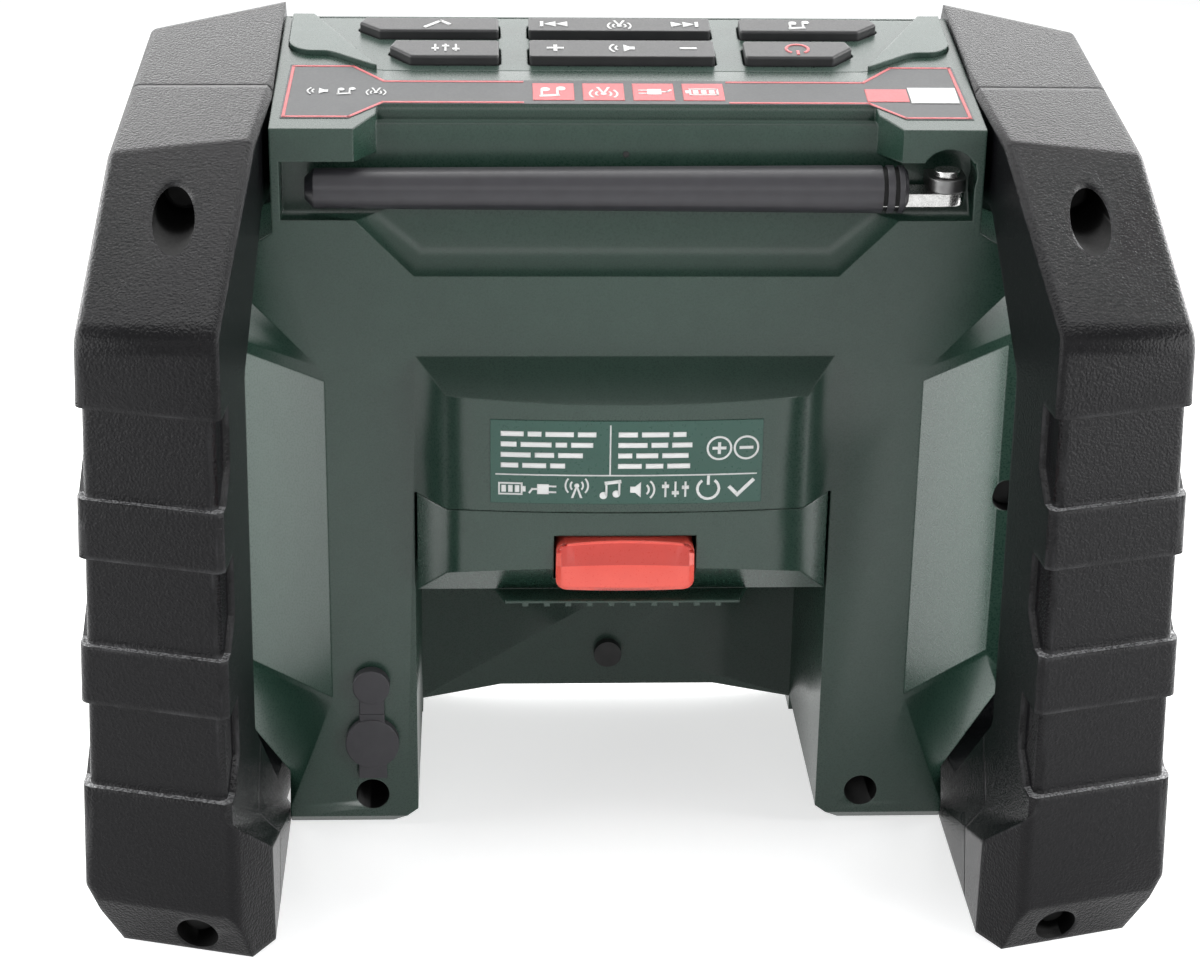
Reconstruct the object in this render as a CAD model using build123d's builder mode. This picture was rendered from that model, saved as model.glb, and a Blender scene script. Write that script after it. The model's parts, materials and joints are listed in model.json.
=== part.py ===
"""Jobsite radio: hollow body, two roll bars that serve as handles, battery dock, aerial and keypad.

Axes: +X to the left as seen from behind, +Y to the rear, +Z up. The origin is on the ground,
below the middle of the radio. All lengths are in millimetres, all angles in degrees.
"""
import os
from math import cos, pi, radians, sin, sqrt, tan

from build123d import *

os.makedirs("parts", exist_ok=True)

# --- fits ---------------------------------------------------------------------------------
seam_gap = 0.2  # between fixed pieces that meet side by side
key_gap = 0.45  # round each key
slip = 0.05  # radial clearance of pins, screws and flanges that run on a face
wall = 2.5  # wall of both shells

# --- body ---------------------------------------------------------------------------------
body_half = 79.5
rear_y, front_y = 10.5, -64.5
split_y = -53.0  # parting plane between rear and front shell
rear_top_z = 174.5  # rear edge of the top
deck_slope = 9.3  # the top rises to the front
crest_y, crest_drop = -53.5, 9.0  # the front edge of the top is slanted
toe = 2.5  # bevel along the bottom edges
flank_half = body_half + 21.0  # the body is wider between the rails of the roll bars
flank_low_z, flank_high_z, flank_rise = 26.0, 138.0, 18.0
flank_rear_y, flank_front_y = -13.5, -60.5

# --- hand scoops in the rear corners of the body --------------------------------------------
scoop_x = body_half - 10.8
scoop_low_z, scoop_high_z = 34.0, 117.5
scoop_ceiling, scoop_floor = (18, 18, -17), (24, 24, 9)  # directions the faces look in
scoop_round = 7.0

# --- battery bay, block and dock ------------------------------------------------------------
bay_half, bay_depth, bay_corner, bay_corner_z = 48.5, 60.0, 6.0, 4.5
arch_half, arch_z, arch_end_z = 28.0, 8.0, 4.0
block_half, block_low_z, block_top_z = 48.0, 63.3, 121.5
face_half, face_low_z, face_top_z = 41.0, 72.0, 115.6
block_depth, block_bulge = 10.0, 2.5
dock_seam_z = 88.0
dock_depth, dock_side_gap = 46.0, 0.6
lip_half, lip_flare, lip_reach, lip_thick = 27.5, 2.5, 6.0, 1.1  # flat lip below the button
comb_count, comb_pitch, rib_width, rib_drop, rib_back, rib_front = 10, 5.05, 1.5, 1.8, 2.0, 4.0
rail_x, rail_height, rail_width, rail_lip, rail_foot, rail_length = 30.0, 6.5, 3.0, 3.5, 2.0, 28.0
blade_pitch, blade_count, contact_thick, contact_slot = 8.0, 4, 0.8, 3.0
terminal_width, terminal_drop, terminal_back, contact_start = 40.0, 6.0, 18.0, 6.0

# --- release button -------------------------------------------------------------------------
button_width, button_height, button_z = 31.8, 12.6, 75.3
button_round, button_bevel = 2.5, 1.2
button_proud, button_travel = 2.6, 3.5
tongue_half, tongue_thick, tongue_drop, tongue_y = 7.0, 3.0, 4.0, -4.5
spring_turns, spring_wire, spring_radius, spring_length = 5, 0.7, 3.0, 11.0
turn_steps, wire_sides, spring_wall = 12, 6, 2.0

# --- aerial ---------------------------------------------------------------------------------
aerial_z, aerial_y = 160.3, 8.1
sleeve_near_radius, sleeve_far_radius = 5.4, 4.5
ring_count, ring_pitch, ring_width, ring_depth = 2, 2.6, 1.0, 0.5  # grooves near the joint
sleeve_start, sleeve_length, sleeve_bevel = 9.0, 134.5, 1.0
slot_half_height, slot_half_length = 6.7, body_half - 2.0
pivot_x = 6.0 - slot_half_length
recess_low_half, recess_low_z = 48.0, 140.4
recess_side_half, recess_side_z = 61.0, 153.5
recess_depth, recess_draft = 8.2, 30.0
ledge_z, ledge_y = 173.3, -2.9
stud_radius, finger_scoop_radius, finger_scoop_rise = 4.3, 6.4, 3.4
stud_neck, stud_depth = 3.3, 4.0
blade_thick, blade_half, pivot_radius, pivot_head = 3.0, 4.0, 1.5, 1.6

# --- top panel and keys, measured forward from the rear top edge along the deck ---------------
panel_thick, panel_half, panel_end = 2.4, body_half - 2.0, 63.6
seam_middle, seam_end = 32.4, 41.2
seam_outer_x, seam_round = panel_half - 9.5, 6.0
seam_inner_x = seam_outer_x - 11.5
shoulder_rise, shoulder_rear_x, shoulder_front_x = 1.2, panel_half - 21.0, panel_half - 5.0
near_row, far_row = (35.8, 45.4), (51.2, 59.0)
rocker_half, outer_key_x = 21.5, 28.6
far_key_tip, key_tip_cut = panel_half - 16.0, 5.0
near_key_tip = far_key_tip - 7.5
key_height, key_travel, key_flange, key_corner = 2.2, 1.2, 1.4, 0.8
flange_reach = 0.8
trunnion_radius, trunnion_length = 1.0, 1.6
well_start, well_middle, well_end = 34.2, 48.2, 61.8
near_well_half, far_well_half = near_key_tip + 2.3, far_key_tip + 2.5
mat_half, board_half, mat_thick, board_thick = far_well_half - 1.5, body_half - 10.5, 1.2, 1.6
post_radius, mat_margin = 2.0, 1.0

# --- roll bars ------------------------------------------------------------------------------
bar_yaw = 16.0  # each bar is turned outwards about a vertical axis
bar_turn_y = -8.9  # the seam between its halves meets the body here
bar_front_y, bar_bottom_y = -73.5, -59.5
bar_rear, bar_ground, bar_knee_z = 81.5, 76.6, 12.0  # along the turned side, from the seam
bar_tilt = 1.2  # the grip leans forward towards the top
bar_outer = body_half + 42.4  # at the knee
bar_toe_z, bar_toe = 16.0, 8.0  # bevel of the outer bottom edge
bar_facet, bar_crown, bar_brow = (211, 435, 875), (170, 157, 973), (191, -812, 551)
bar_cheek, bar_heel = (750, -660, 0), (-847, 532, 0)  # directions that the faces look in
bar_outside, bar_inside = (1000, -29, 35), (-1000, 83, -8)
facet_z, facet_rear_y = 146.9, 73.1
crown_z, crown_front_y = 187.4, -58.3
heel_y = 62.0
foot_top, foot_inner_z = (-1000, -390, 1000), 3.7
bar_bend, bar_edge, inner_bevel = 7.0, 2.6, 1.1  # rounding of bends and outer edges, bevel inside
grip_depth = 33.0
seam_face, seam_z = (391, 879, 273), 179.6
opening_front, opening_low_z, opening_high_z = -14.0, 14.0, 157.0
opening_rear_low_z, opening_rear_high_z = 42.0, 128.0
opening_cut, opening_round = 28.0, 5.0
groove_tops, groove_height, groove_depth = (129.0, 95.0, 61.0), 20.4, 1.4
groove_wrap, groove_slant = 12.0, 6.0
bore_radius = 4.7
upper_bore_x, upper_bore_z, upper_seat_y, upper_tip_y = body_half + 18.5, 161.7, 12.5, -23.5
lower_bore_x, lower_bore_z, lower_seat_y, lower_tip_y = body_half + 17.0, 5.6, 58.5, 26.5
screw_radius, head_radius, head_height, socket_radius, socket_depth = 1.6, 3.6, 2.4, 1.3, 1.6

# --- screws of the body ---------------------------------------------------------------------
leg_screw_x, leg_screw_z = 59.5, 8.6
scoop_screw_x, scoop_screw_z = flank_half - 5.2, 76.6
bay_screw_z = 17.6
body_bore_radius, boss_radius = 4.0, 5.6
body_seat_y = -19.5  # where the heads of the leg and scoop screws sit

# --- supply inlet ---------------------------------------------------------------------------
inlet_x, inlet_z = 59.3, 23.3
cap_radius, cap_thick, cap_gap = 6.4, 2.2, 0.1
anchor_radius, anchor_rise, anchor_proud = 4.4, 15.4, 0.6
strap_half, strap_sink, hinge_rise = 3.0, 0.4, 7.8
tab_half, tab_drop, tab_sink = 3.4, 9.6, 0.8
inlet_bore, spigot_radius, spigot_length = 4.2, 3.2, 1.8
jack_half, jack_depth, jack_bore, jack_pin, jack_floor = 5.5, 13.0, 2.8, 1.0, 2.0

# --- front: loudspeaker and display -----------------------------------------------------------
speaker_z, speaker_radius, grille_radius, grille_rim, rim_width = 110.0, 36.0, 40.0, 2.0, 3.0
grille_dome, grille_thick, grille_flat = 4.0, 1.8, 16.0
slot_count, slot_pitch, slot_width, slot_margin = 11, 6.0, 3.0, 6.0
basket_depth, basket_skin, basket_flange = 16.0, 2.0, 4.0
cone_depth, cone_skin, dust_cap, dust_cap_depth = 11.0, 1.2, 7.0, 2.5
magnet_radius, magnet_depth = 15.0, 9.0
display_z, display_width, display_height, display_edge = 160.0, 54.0, 15.0, 1.5
window_flange, module_thick, module_margin = 1.2, 3.8, 1.5
main_board_y, main_board_half, main_board_low_z, main_board_height = -9.5, 55.0, 94.0, 40.0
chips = [(-16.0, 14.0, 16.0, 4.0), (12.0, 18.0, 12.0, 3.0)]  # place on the board, size and height

# --- values that follow ---------------------------------------------------------------------
deck = Plane(origin=(0, rear_y, rear_top_z), x_dir=(1, 0, 0),
             z_dir=(0, sin(radians(deck_slope)), cos(radians(deck_slope))))
bay_back_y = rear_y - bay_depth
dock_back_y = rear_y - dock_depth
recess_back_y = rear_y - recess_depth
bar_inner_x = body_half + seam_gap
far = 300.0  # reaches past everything


def deck_z(y):
    """Height of the deck above the ground at a given y."""
    return rear_top_z + (rear_y - y) * tan(radians(deck_slope))


def box_between(low, high):
    """A box given by two opposite corners."""
    size = [b - a for a, b in zip(low, high)]
    middle = [(a + b) / 2 for a, b in zip(low, high)]
    return Pos(*middle) * Box(*size, mode=Mode.PRIVATE)


def rod_along_y(radius, x, z, y_low, y_high):
    """A cylinder that runs along Y."""
    place = Pos(x, (y_low + y_high) / 2, z) * Rot(90, 0, 0)
    return place * Cylinder(radius, y_high - y_low, mode=Mode.PRIVATE)


def both_sides(shape):
    """A shape on the +X side together with its mirror image."""
    return shape + mirror(shape, about=Plane.YZ)


def space_before(point, normals):
    """The space that lies in front of every plane through a point."""
    space = box_between((-far, -far, -far), (far, far, far))
    for normal in normals:
        space = split(space, bisect_by=Plane(origin=point, z_dir=normal), keep=Keep.TOP)
    return space


def scoop_form(grow):
    """Hand scoop on the +X side: one big facet between a floor and a ceiling."""
    edge_x = scoop_x - grow * sqrt(2)
    upper = space_before((edge_x, rear_y, scoop_high_z), ((1, 1, 0), scoop_ceiling))
    lower = space_before((edge_x, rear_y, scoop_low_z), ((1, 1, 0), scoop_floor))
    form = upper & lower & box_between((0, flank_rear_y - grow, 0), (far, far, far))
    if grow > 0:
        return form
    creases = form.edges().filter_by(lambda e: min((e @ 0).X, (e @ 1).X) < scoop_x + 0.01)
    creases = creases.filter_by(lambda e: max((e @ 0).Z, (e @ 1).Z) - min((e @ 0).Z, (e @ 1).Z) < 30)
    return fillet(creases, scoop_round)


def block_form(inset):
    """Protruding block on the rear face, with slanted sides, top and bottom."""
    face_y, root_y = rear_y + block_depth - inset, rear_y - wall - 6
    half, front_half = block_half - inset, face_half - inset
    with BuildPart() as block:
        with BuildSketch(Plane.XY.offset(block_low_z)):
            with BuildLine():
                Polyline((front_half, face_y), (half, rear_y), (half, root_y),
                         (-half, root_y), (-half, rear_y), (-front_half, face_y))
                ThreePointArc((-front_half, face_y), (0, face_y + block_bulge), (front_half, face_y))
            make_face()
        extrude(amount=block_top_z - block_low_z)
        split(bisect_by=Plane(origin=(0, rear_y, block_top_z - inset),
                              z_dir=(0, block_top_z - face_top_z, block_depth)), keep=Keep.BOTTOM)
        split(bisect_by=Plane(origin=(0, rear_y, block_low_z + inset),
                              z_dir=(0, face_low_z - block_low_z, -block_depth)), keep=Keep.BOTTOM)
    return block.part


def recess_form(grow):
    """Tapered recess for the aerial that cuts the rear top edge back to a ledge."""
    above = rear_top_z + far
    with BuildPart() as recess:
        with BuildSketch(Plane.XZ.offset(-rear_y)):
            with BuildLine():
                Polyline((-recess_low_half, recess_low_z), (recess_low_half, recess_low_z),
                         (recess_side_half, recess_side_z), (recess_side_half, above),
                         (-recess_side_half, above), (-recess_side_half, recess_side_z), close=True)
            make_face()
            if grow:
                offset(amount=grow)
        extrude(amount=recess_depth + grow, taper=recess_draft)
        ledge_half = recess_side_half - recess_depth * tan(radians(recess_draft)) + grow
        with BuildSketch(Plane.XY.offset(ledge_z - grow)):
            with Locations((0, (ledge_y - grow + rear_y) / 2)):
                Rectangle(2 * ledge_half, rear_y - ledge_y + grow)
        extrude(amount=far)
    return recess.part


def slot_form(grow):
    """Slot behind both ends of the aerial, with a finger scoop above the stud."""
    half_height, half_length = slot_half_height + grow, slot_half_length + grow
    slot = box_between((-half_length, recess_back_y - grow, aerial_z - half_height),
                       (half_length, far, aerial_z + half_height))
    scoop = rod_along_y(finger_scoop_radius + grow, pivot_x, aerial_z + finger_scoop_rise,
                        recess_back_y - grow, far)
    return slot + scoop


def bay_form(grow):
    """Battery bay with bevelled feet, the arch below its back wall, and the room for the dock."""
    half, top = bay_half + grow, block_low_z + grow
    with BuildPart() as bay:
        with BuildSketch(Plane.XZ.offset(-far)):
            with BuildLine():
                Polyline((-half - bay_corner, -far), (-half - bay_corner, 0), (-half, bay_corner_z),
                         (-half, top), (half, top), (half, bay_corner_z), (half + bay_corner, 0),
                         (half + bay_corner, -far), close=True)
            make_face()
        extrude(amount=far - bay_back_y + grow)
        with BuildSketch(Plane.XZ.offset(-far)):
            with BuildLine():
                Polyline((-half, -far), (-half, arch_end_z + grow), (-arch_half, arch_z + grow),
                         (arch_half, arch_z + grow), (half, arch_end_z + grow), (half, -far), close=True)
            make_face()
        extrude(amount=2 * far)
    return bay.part + box_between((-half, dock_back_y - grow, block_low_z - 1),
                                  (half, far, dock_seam_z + grow))


def body_form(inset):
    """Outer form of the body or, with a positive inset, the space inside its walls."""
    sink = (inset + panel_thick) / cos(radians(deck_slope)) if inset > 0 else inset
    front, rear, half = front_y + inset, rear_y - inset, body_half - inset
    out, low, high = flank_half - inset, flank_low_z + inset, flank_high_z - inset
    root = body_half - 9
    with BuildPart() as body:
        with BuildSketch(Plane.YZ) as side:
            with BuildLine():
                Polyline((rear, inset), (rear, deck_z(rear) - sink), (crest_y, deck_z(crest_y) - sink),
                         (front, deck_z(crest_y) - crest_drop - sink), (front, inset), close=True)
            make_face()
            if not inset:
                chamfer(side.vertices().group_by(Axis.Y)[0], toe)
        extrude(amount=half, both=True)
        with BuildSketch(Plane.XZ.offset(-rear)):
            with BuildLine():
                Polyline((out, low), (out, high), (root, high + flank_rise), (-root, high + flank_rise),
                         (-out, high), (-out, low), (-root, low - flank_rise), (root, low - flank_rise),
                         close=True)
            make_face()
        extrude(amount=rear - flank_front_y - inset)
    form = body.part - both_sides(scoop_form(inset)) + block_form(inset)
    return form - bay_form(inset) - slot_form(inset) - recess_form(inset)


def panel_plan():
    """Outline of the top panel on the deck; its rear edge steps forward at both ends."""
    with BuildSketch(Plane.XY) as plan:
        with BuildLine():
            FilletPolyline((-panel_half, -panel_end), (-panel_half, -seam_end), (-seam_outer_x, -seam_end),
                           (-seam_inner_x, -seam_middle), (seam_inner_x, -seam_middle),
                           (seam_outer_x, -seam_end), (panel_half, -seam_end), (panel_half, -panel_end),
                           radius=seam_round)
            Line((panel_half, -panel_end), (-panel_half, -panel_end))
        make_face()
    return plan.sketch


def key_plan(row, tip, side):
    """Outline of an outer key on one side (+1 or -1), with its slanted outer end."""
    start, end = row
    corners = [(outer_key_x, -start), (outer_key_x, -end), (tip - key_tip_cut / 4, -end),
               (tip, -start - 0.6 * (end - start)), (tip - key_tip_cut, -start)]
    with BuildSketch(Plane.XY) as plan:
        with BuildLine():
            Polyline([(side * x, y) for x, y in corners[::side]], close=True)
        make_face()
        fillet(plan.vertices(), key_corner)
    return plan.sketch


def rocker_plan(row):
    """Outline of a rocker key in the middle of a row."""
    start, end = row
    with BuildSketch(Plane.XY) as plan:
        with Locations((0, -(start + end) / 2)):
            RectangleRounded(2 * rocker_half, end - start, key_corner)
    return plan.sketch


key_plans = {
    "sound_key": key_plan(near_row, near_key_tip, 1),
    "select_key": key_plan(far_row, far_key_tip, 1),
    "power_key": key_plan(near_row, near_key_tip, -1),
    "mode_key": key_plan(far_row, far_key_tip, -1),
    "volume_key": rocker_plan(near_row),
    "channel_key": rocker_plan(far_row),
}


def on_deck(plan, low, high):
    """A plan raised from the deck between two heights."""
    return extrude(deck.offset(low) * plan, amount=high - low, dir=deck.z_dir)


def display_box(margin, y_low, y_high):
    """A box round the display opening, wider than it by a margin."""
    half_width, half_height = display_width / 2 + margin, display_height / 2 + margin
    return box_between((-half_width, y_low, display_z - half_height),
                       (half_width, y_high, display_z + half_height))


# --- shells -----------------------------------------------------------------------------------
outer_body = body_form(0)
body_room = body_form(wall)
panel_seat = on_deck(offset(panel_plan(), seam_gap), -panel_thick, far)
with BuildSketch(Plane.XY) as well_plan:
    with Locations((0, -(well_start + well_middle) / 2)):
        Rectangle(2 * near_well_half, well_middle - well_start)
    with Locations((0, -(well_middle + well_end) / 2)):
        Rectangle(2 * far_well_half, well_end - well_middle)
key_well = on_deck(well_plan.sketch, -20, 0)
behind_split = box_between((-far, split_y, -far), (far, far, far))
before_split = box_between((-far, -far, -far), (far, split_y, far))
body_screws = [(leg_screw_x, leg_screw_z), (-leg_screw_x, leg_screw_z),
               (scoop_screw_x, scoop_screw_z), (-scoop_screw_x, scoop_screw_z)]
front_inner_y = front_y + wall
screw_tip_y = flank_front_y + wall

with BuildPart() as rear_shell:
    add(outer_body)
    add(body_room, mode=Mode.SUBTRACT)
    for x, z in body_screws:
        add(rod_along_y(boss_radius, x, z, split_y, rear_y) & outer_body)
    add(behind_split, mode=Mode.INTERSECT)
    add(panel_seat, mode=Mode.SUBTRACT)
    add(key_well, mode=Mode.SUBTRACT)
    for x, z in body_screws:
        add(rod_along_y(body_bore_radius, x, z, body_seat_y, far), mode=Mode.SUBTRACT)
        add(rod_along_y(screw_radius + slip, x, z, split_y, body_seat_y), mode=Mode.SUBTRACT)
    add(rod_along_y(screw_radius + slip, 0, bay_screw_z, split_y, bay_back_y), mode=Mode.SUBTRACT)
    add(rod_along_y(stud_neck + slip, pivot_x, aerial_z, recess_back_y - 2 * wall, recess_back_y),
        mode=Mode.SUBTRACT)
    add(rod_along_y(inlet_bore, inlet_x, inlet_z, rear_y - 2 * wall, rear_y), mode=Mode.SUBTRACT)
    for x in (-main_board_half + post_radius, main_board_half - post_radius):
        z = main_board_low_z + post_radius
        add(rod_along_y(post_radius, x, z, main_board_y, rear_y - wall))

with BuildPart() as front_shell:
    add(outer_body)
    add(body_room, mode=Mode.SUBTRACT)
    for x, z in body_screws + [(0, bay_screw_z)]:
        add(rod_along_y(boss_radius - 1, x, z, front_y, split_y) & outer_body)
    add(before_split, mode=Mode.INTERSECT)
    add(panel_seat, mode=Mode.SUBTRACT)
    add(key_well, mode=Mode.SUBTRACT)
    for x, z in body_screws + [(0, bay_screw_z)]:
        add(rod_along_y(screw_radius + slip, x, z, screw_tip_y, split_y), mode=Mode.SUBTRACT)
    add(rod_along_y(speaker_radius - 2, 0, speaker_z, -far, split_y), mode=Mode.SUBTRACT)
    add(display_box(0, -far, split_y), mode=Mode.SUBTRACT)

with BuildPart() as top_panel:
    add(on_deck(panel_plan(), -panel_thick, 0))
    with BuildSketch(Plane.XY) as middle:
        with BuildLine():
            Polyline((-shoulder_rear_x, 0), (shoulder_rear_x, 0), (shoulder_rear_x, -seam_middle),
                     (shoulder_front_x, -panel_end), (-shoulder_front_x, -panel_end),
                     (-shoulder_rear_x, -seam_middle), close=True)
        make_face()
    add(on_deck(panel_plan() - middle.sketch, 0, shoulder_rise))
    for plan in key_plans.values():
        add(on_deck(offset(plan, key_gap), -panel_thick, 0), mode=Mode.SUBTRACT)

# --- keys, mat and control board ----------------------------------------------------------------
flange_low = -panel_thick - slip - key_flange
mat_top = flange_low - key_travel - 0.1
keys = {}
for name, plan in key_plans.items():
    with BuildPart() as key:
        add(on_deck(plan, flange_low, key_height))
        if name in ("volume_key", "channel_key"):
            start, end = near_row if name == "volume_key" else far_row
            middle_y, length = -(start + end) / 2, end - start + 2 * trunnion_length
            axle = Pos(0, middle_y, -panel_thick - slip - trunnion_radius) * Rot(90, 0, 0)
            add(deck.location * axle * Cylinder(trunnion_radius, length, mode=Mode.PRIVATE))
        else:
            add(on_deck(offset(plan, flange_reach + key_gap), flange_low, flange_low + key_flange))
    keys[name] = key

with BuildPart() as keypad_mat:
    with BuildSketch(deck.offset(mat_top)):
        with Locations((0, -(well_start + well_end) / 2)):
            Rectangle(2 * mat_half, well_end - well_start - 2 * mat_margin)
    extrude(amount=-mat_thick)

with BuildPart() as control_board:
    with BuildSketch(deck.offset(mat_top - mat_thick)):
        with Locations((0, -(well_start + well_end) / 2)):
            Rectangle(2 * board_half, well_end - well_start - mat_margin)
    extrude(amount=-board_thick)
    post_x, post_y = board_half - post_radius, (well_end - well_start) / 2 - 2.5 * post_radius
    with BuildSketch(deck.offset(mat_top - mat_thick)):
        with Locations((0, -(well_start + well_end) / 2)):
            with GridLocations(2 * post_x, 2 * post_y, 2, 2):
                Circle(post_radius)
    extrude(amount=-panel_thick - wall - mat_top + mat_thick)

# --- battery dock, release button and terminals -------------------------------------------------
dock_top = dock_seam_z - seam_gap
dock_low = block_low_z
dock_sides = box_between((-bay_half + dock_side_gap, dock_back_y + seam_gap, dock_low - 1),
                         (bay_half - dock_side_gap, far, dock_top))
button_half, button_low = button_width / 2, button_z - button_height / 2
button_face_y = rear_y + block_depth + block_bulge + button_proud
button_back_y = tongue_y + tongue_thick
button_depth = button_face_y - button_back_y
spring_back_y = tongue_y - spring_length
rail_low, rail_end_y = dock_low - rail_height, dock_back_y + seam_gap + rail_length
with BuildPart() as battery_dock:
    inside = bay_half - dock_side_gap
    add(box_between((-inside, dock_back_y + seam_gap, dock_low), (inside, rear_y, dock_top)))
    add(block_form(0) & dock_sides)
    room = box_between((-inside + wall, dock_back_y + seam_gap + wall, dock_low + wall),
                       (inside - wall, rear_y + 1, dock_top + 1))
    add(room, mode=Mode.SUBTRACT)
    add(block_form(wall) & box_between((-far, rear_y - 3, dock_low + wall), (far, far, far)),
        mode=Mode.SUBTRACT)
    add(box_between((-button_half - key_gap, rear_y, button_low - key_gap),
                    (button_half + key_gap, far, button_z + button_height / 2 + key_gap)),
        mode=Mode.SUBTRACT)
    add(box_between((-tongue_half - key_gap, tongue_y - button_travel - key_gap, dock_low - 1),
                    (tongue_half + key_gap, tongue_y + tongue_thick + key_gap, dock_low + wall)),
        mode=Mode.SUBTRACT)
    add(box_between((-spring_radius * 2, spring_back_y - spring_wall, dock_low + wall),
                    (spring_radius * 2, spring_back_y, button_z + spring_radius * 2)))
    with BuildSketch(Plane.XZ.offset(-rail_end_y)):
        with BuildLine():
            Polyline((rail_x, dock_low), (rail_x, rail_low + rail_foot),
                     (rail_x - rail_lip, rail_low + rail_foot), (rail_x - rail_lip, rail_low),
                     (rail_x + rail_width, rail_low), (rail_x + rail_width, dock_low), close=True)
        make_face()
        mirror(about=Plane.YZ)
    extrude(amount=rail_length)
    with BuildSketch(Plane.XY.offset(dock_low)):
        with BuildLine():
            Polyline((lip_half, rear_y + lip_reach), (lip_half + lip_flare, rear_y - rib_back),
                     (-lip_half - lip_flare, rear_y - rib_back), (-lip_half, rear_y + lip_reach), close=True)
        make_face()
    extrude(amount=-lip_thick)
    with BuildSketch(Plane.XY.offset(dock_low - lip_thick)):
        with Locations((0, rear_y + (rib_front - rib_back) / 2)):
            with GridLocations(comb_pitch, 1, comb_count, 1):
                Rectangle(rib_width, rib_back + rib_front)
    extrude(amount=-rib_drop)

with BuildPart() as release_button:
    with BuildSketch(Plane.XZ.offset(-button_back_y)):
        with Locations((0, button_z)):
            RectangleRounded(button_width, button_height, button_round)
    extrude(amount=-button_depth)
    ridge = release_button.edges().filter_by(GeomType.LINE).filter_by(Axis.X).group_by(Axis.Y)[-1]
    chamfer(ridge, button_bevel)
    add(box_between((-tongue_half, tongue_y, dock_low - tongue_drop),
                    (tongue_half, tongue_y + tongue_thick, button_z + button_height / 2 - button_bevel)))

with BuildPart() as release_spring:
    free_length = spring_length - 2 * slip - spring_wire
    step_angle, step_count = 2 * pi / turn_steps, spring_turns * turn_steps
    with BuildLine():
        coil = Polyline([(spring_radius * cos(i * step_angle), spring_radius * sin(i * step_angle),
                          i * free_length / step_count) for i in range(step_count + 1)])
    with BuildSketch(Plane(origin=coil @ 0, z_dir=coil % 0)):
        RegularPolygon(spring_wire / 2, wire_sides)
    sweep(transition=Transition.RIGHT)
spring_place = Plane(origin=(0, tongue_y - slip - spring_wire / 2, button_z), z_dir=(0, -1, 0))
release_spring.part.location = spring_place.location

block_start_y = dock_back_y + seam_gap + wall
with BuildPart() as terminal_block:
    with BuildSketch(Plane.XY.offset(dock_low)):
        with Locations((0, block_start_y + terminal_back / 2)):
            Rectangle(terminal_width, terminal_back)
    extrude(amount=-terminal_drop)
    with BuildSketch(Plane.XY.offset(dock_low - terminal_drop)):
        with Locations((0, block_start_y + terminal_back)):
            with GridLocations(blade_pitch, 1, blade_count, 1):
                Rectangle(contact_slot, 2 * (terminal_back - contact_start))
    extrude(amount=terminal_drop - wall / 2, mode=Mode.SUBTRACT)

with BuildPart() as terminal_blades:
    with BuildSketch(Plane.XY.offset(dock_low - wall / 2)):
        with Locations((0, block_start_y + (terminal_back + contact_start) / 2)):
            with GridLocations(blade_pitch, 1, blade_count, 1):
                Rectangle(contact_thick, terminal_back - contact_start)
    extrude(amount=wall - terminal_drop)

# --- aerial -----------------------------------------------------------------------------------
lug_low = aerial_z + slip
blade_low = aerial_z - blade_thick
with BuildPart() as aerial_stud:
    neck_end_y = aerial_y - 2 * pivot_radius - seam_gap
    add(rod_along_y(stud_neck, pivot_x, aerial_z, recess_back_y - stud_depth, neck_end_y))
    add(box_between((pivot_x - stud_radius, recess_back_y + slip, lug_low),
                    (pivot_x + stud_radius, aerial_y, lug_low + blade_thick)))
    with BuildSketch(Plane.XY.offset(lug_low)):
        with Locations((pivot_x, aerial_y)):
            Circle(stud_radius)
    extrude(amount=blade_thick)
    with BuildSketch(Plane.XY.offset(lug_low)):
        with Locations((pivot_x, aerial_y)):
            Circle(pivot_radius + slip)
    extrude(amount=blade_thick, mode=Mode.SUBTRACT)
    add(box_between((-far, recess_back_y + slip, 0), (0, far, lug_low)), mode=Mode.SUBTRACT)

with BuildPart() as aerial_blade:
    with BuildSketch(Plane.XY.offset(blade_low)):
        with Locations((pivot_x, aerial_y)):
            Circle(blade_half)
        with Locations((pivot_x + sleeve_start, aerial_y)):
            Rectangle(2 * sleeve_start, 2 * blade_half)
        with Locations((pivot_x, aerial_y)):
            Circle(pivot_radius + slip, mode=Mode.SUBTRACT)
    extrude(amount=blade_thick)

with BuildPart() as aerial_pivot:
    with BuildSketch(Plane.XY.offset(blade_low)):
        with Locations((pivot_x, aerial_y)):
            Circle(pivot_radius)
    extrude(amount=2 * blade_thick + 2 * slip)
    with BuildSketch(Plane.XY.offset(lug_low + blade_thick + slip)):
        with Locations((pivot_x, aerial_y)):
            Circle(2 * pivot_radius)
    extrude(amount=pivot_head)

with BuildPart() as aerial_sleeve:
    start_x = pivot_x + sleeve_start
    with BuildSketch(Plane.XY.offset(aerial_z)):
        with BuildLine():
            Polyline((start_x, aerial_y), (start_x, aerial_y + sleeve_near_radius - sleeve_bevel),
                     (start_x + sleeve_bevel, aerial_y + sleeve_near_radius),
                     (start_x + sleeve_length - 2 * sleeve_bevel, aerial_y + sleeve_far_radius),
                     (start_x + sleeve_length, aerial_y + sleeve_far_radius - 2 * sleeve_bevel),
                     (start_x + sleeve_length, aerial_y), close=True)
        make_face()
        for i in range(ring_count):
            with Locations((start_x + (i + 1) * ring_pitch, aerial_y + sleeve_near_radius)):
                Rectangle(ring_width, 2 * ring_depth, mode=Mode.SUBTRACT)
    revolve(axis=Axis((0, aerial_y, aerial_z), (1, 0, 0)))
    add(aerial_blade.part, mode=Mode.SUBTRACT)

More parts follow.
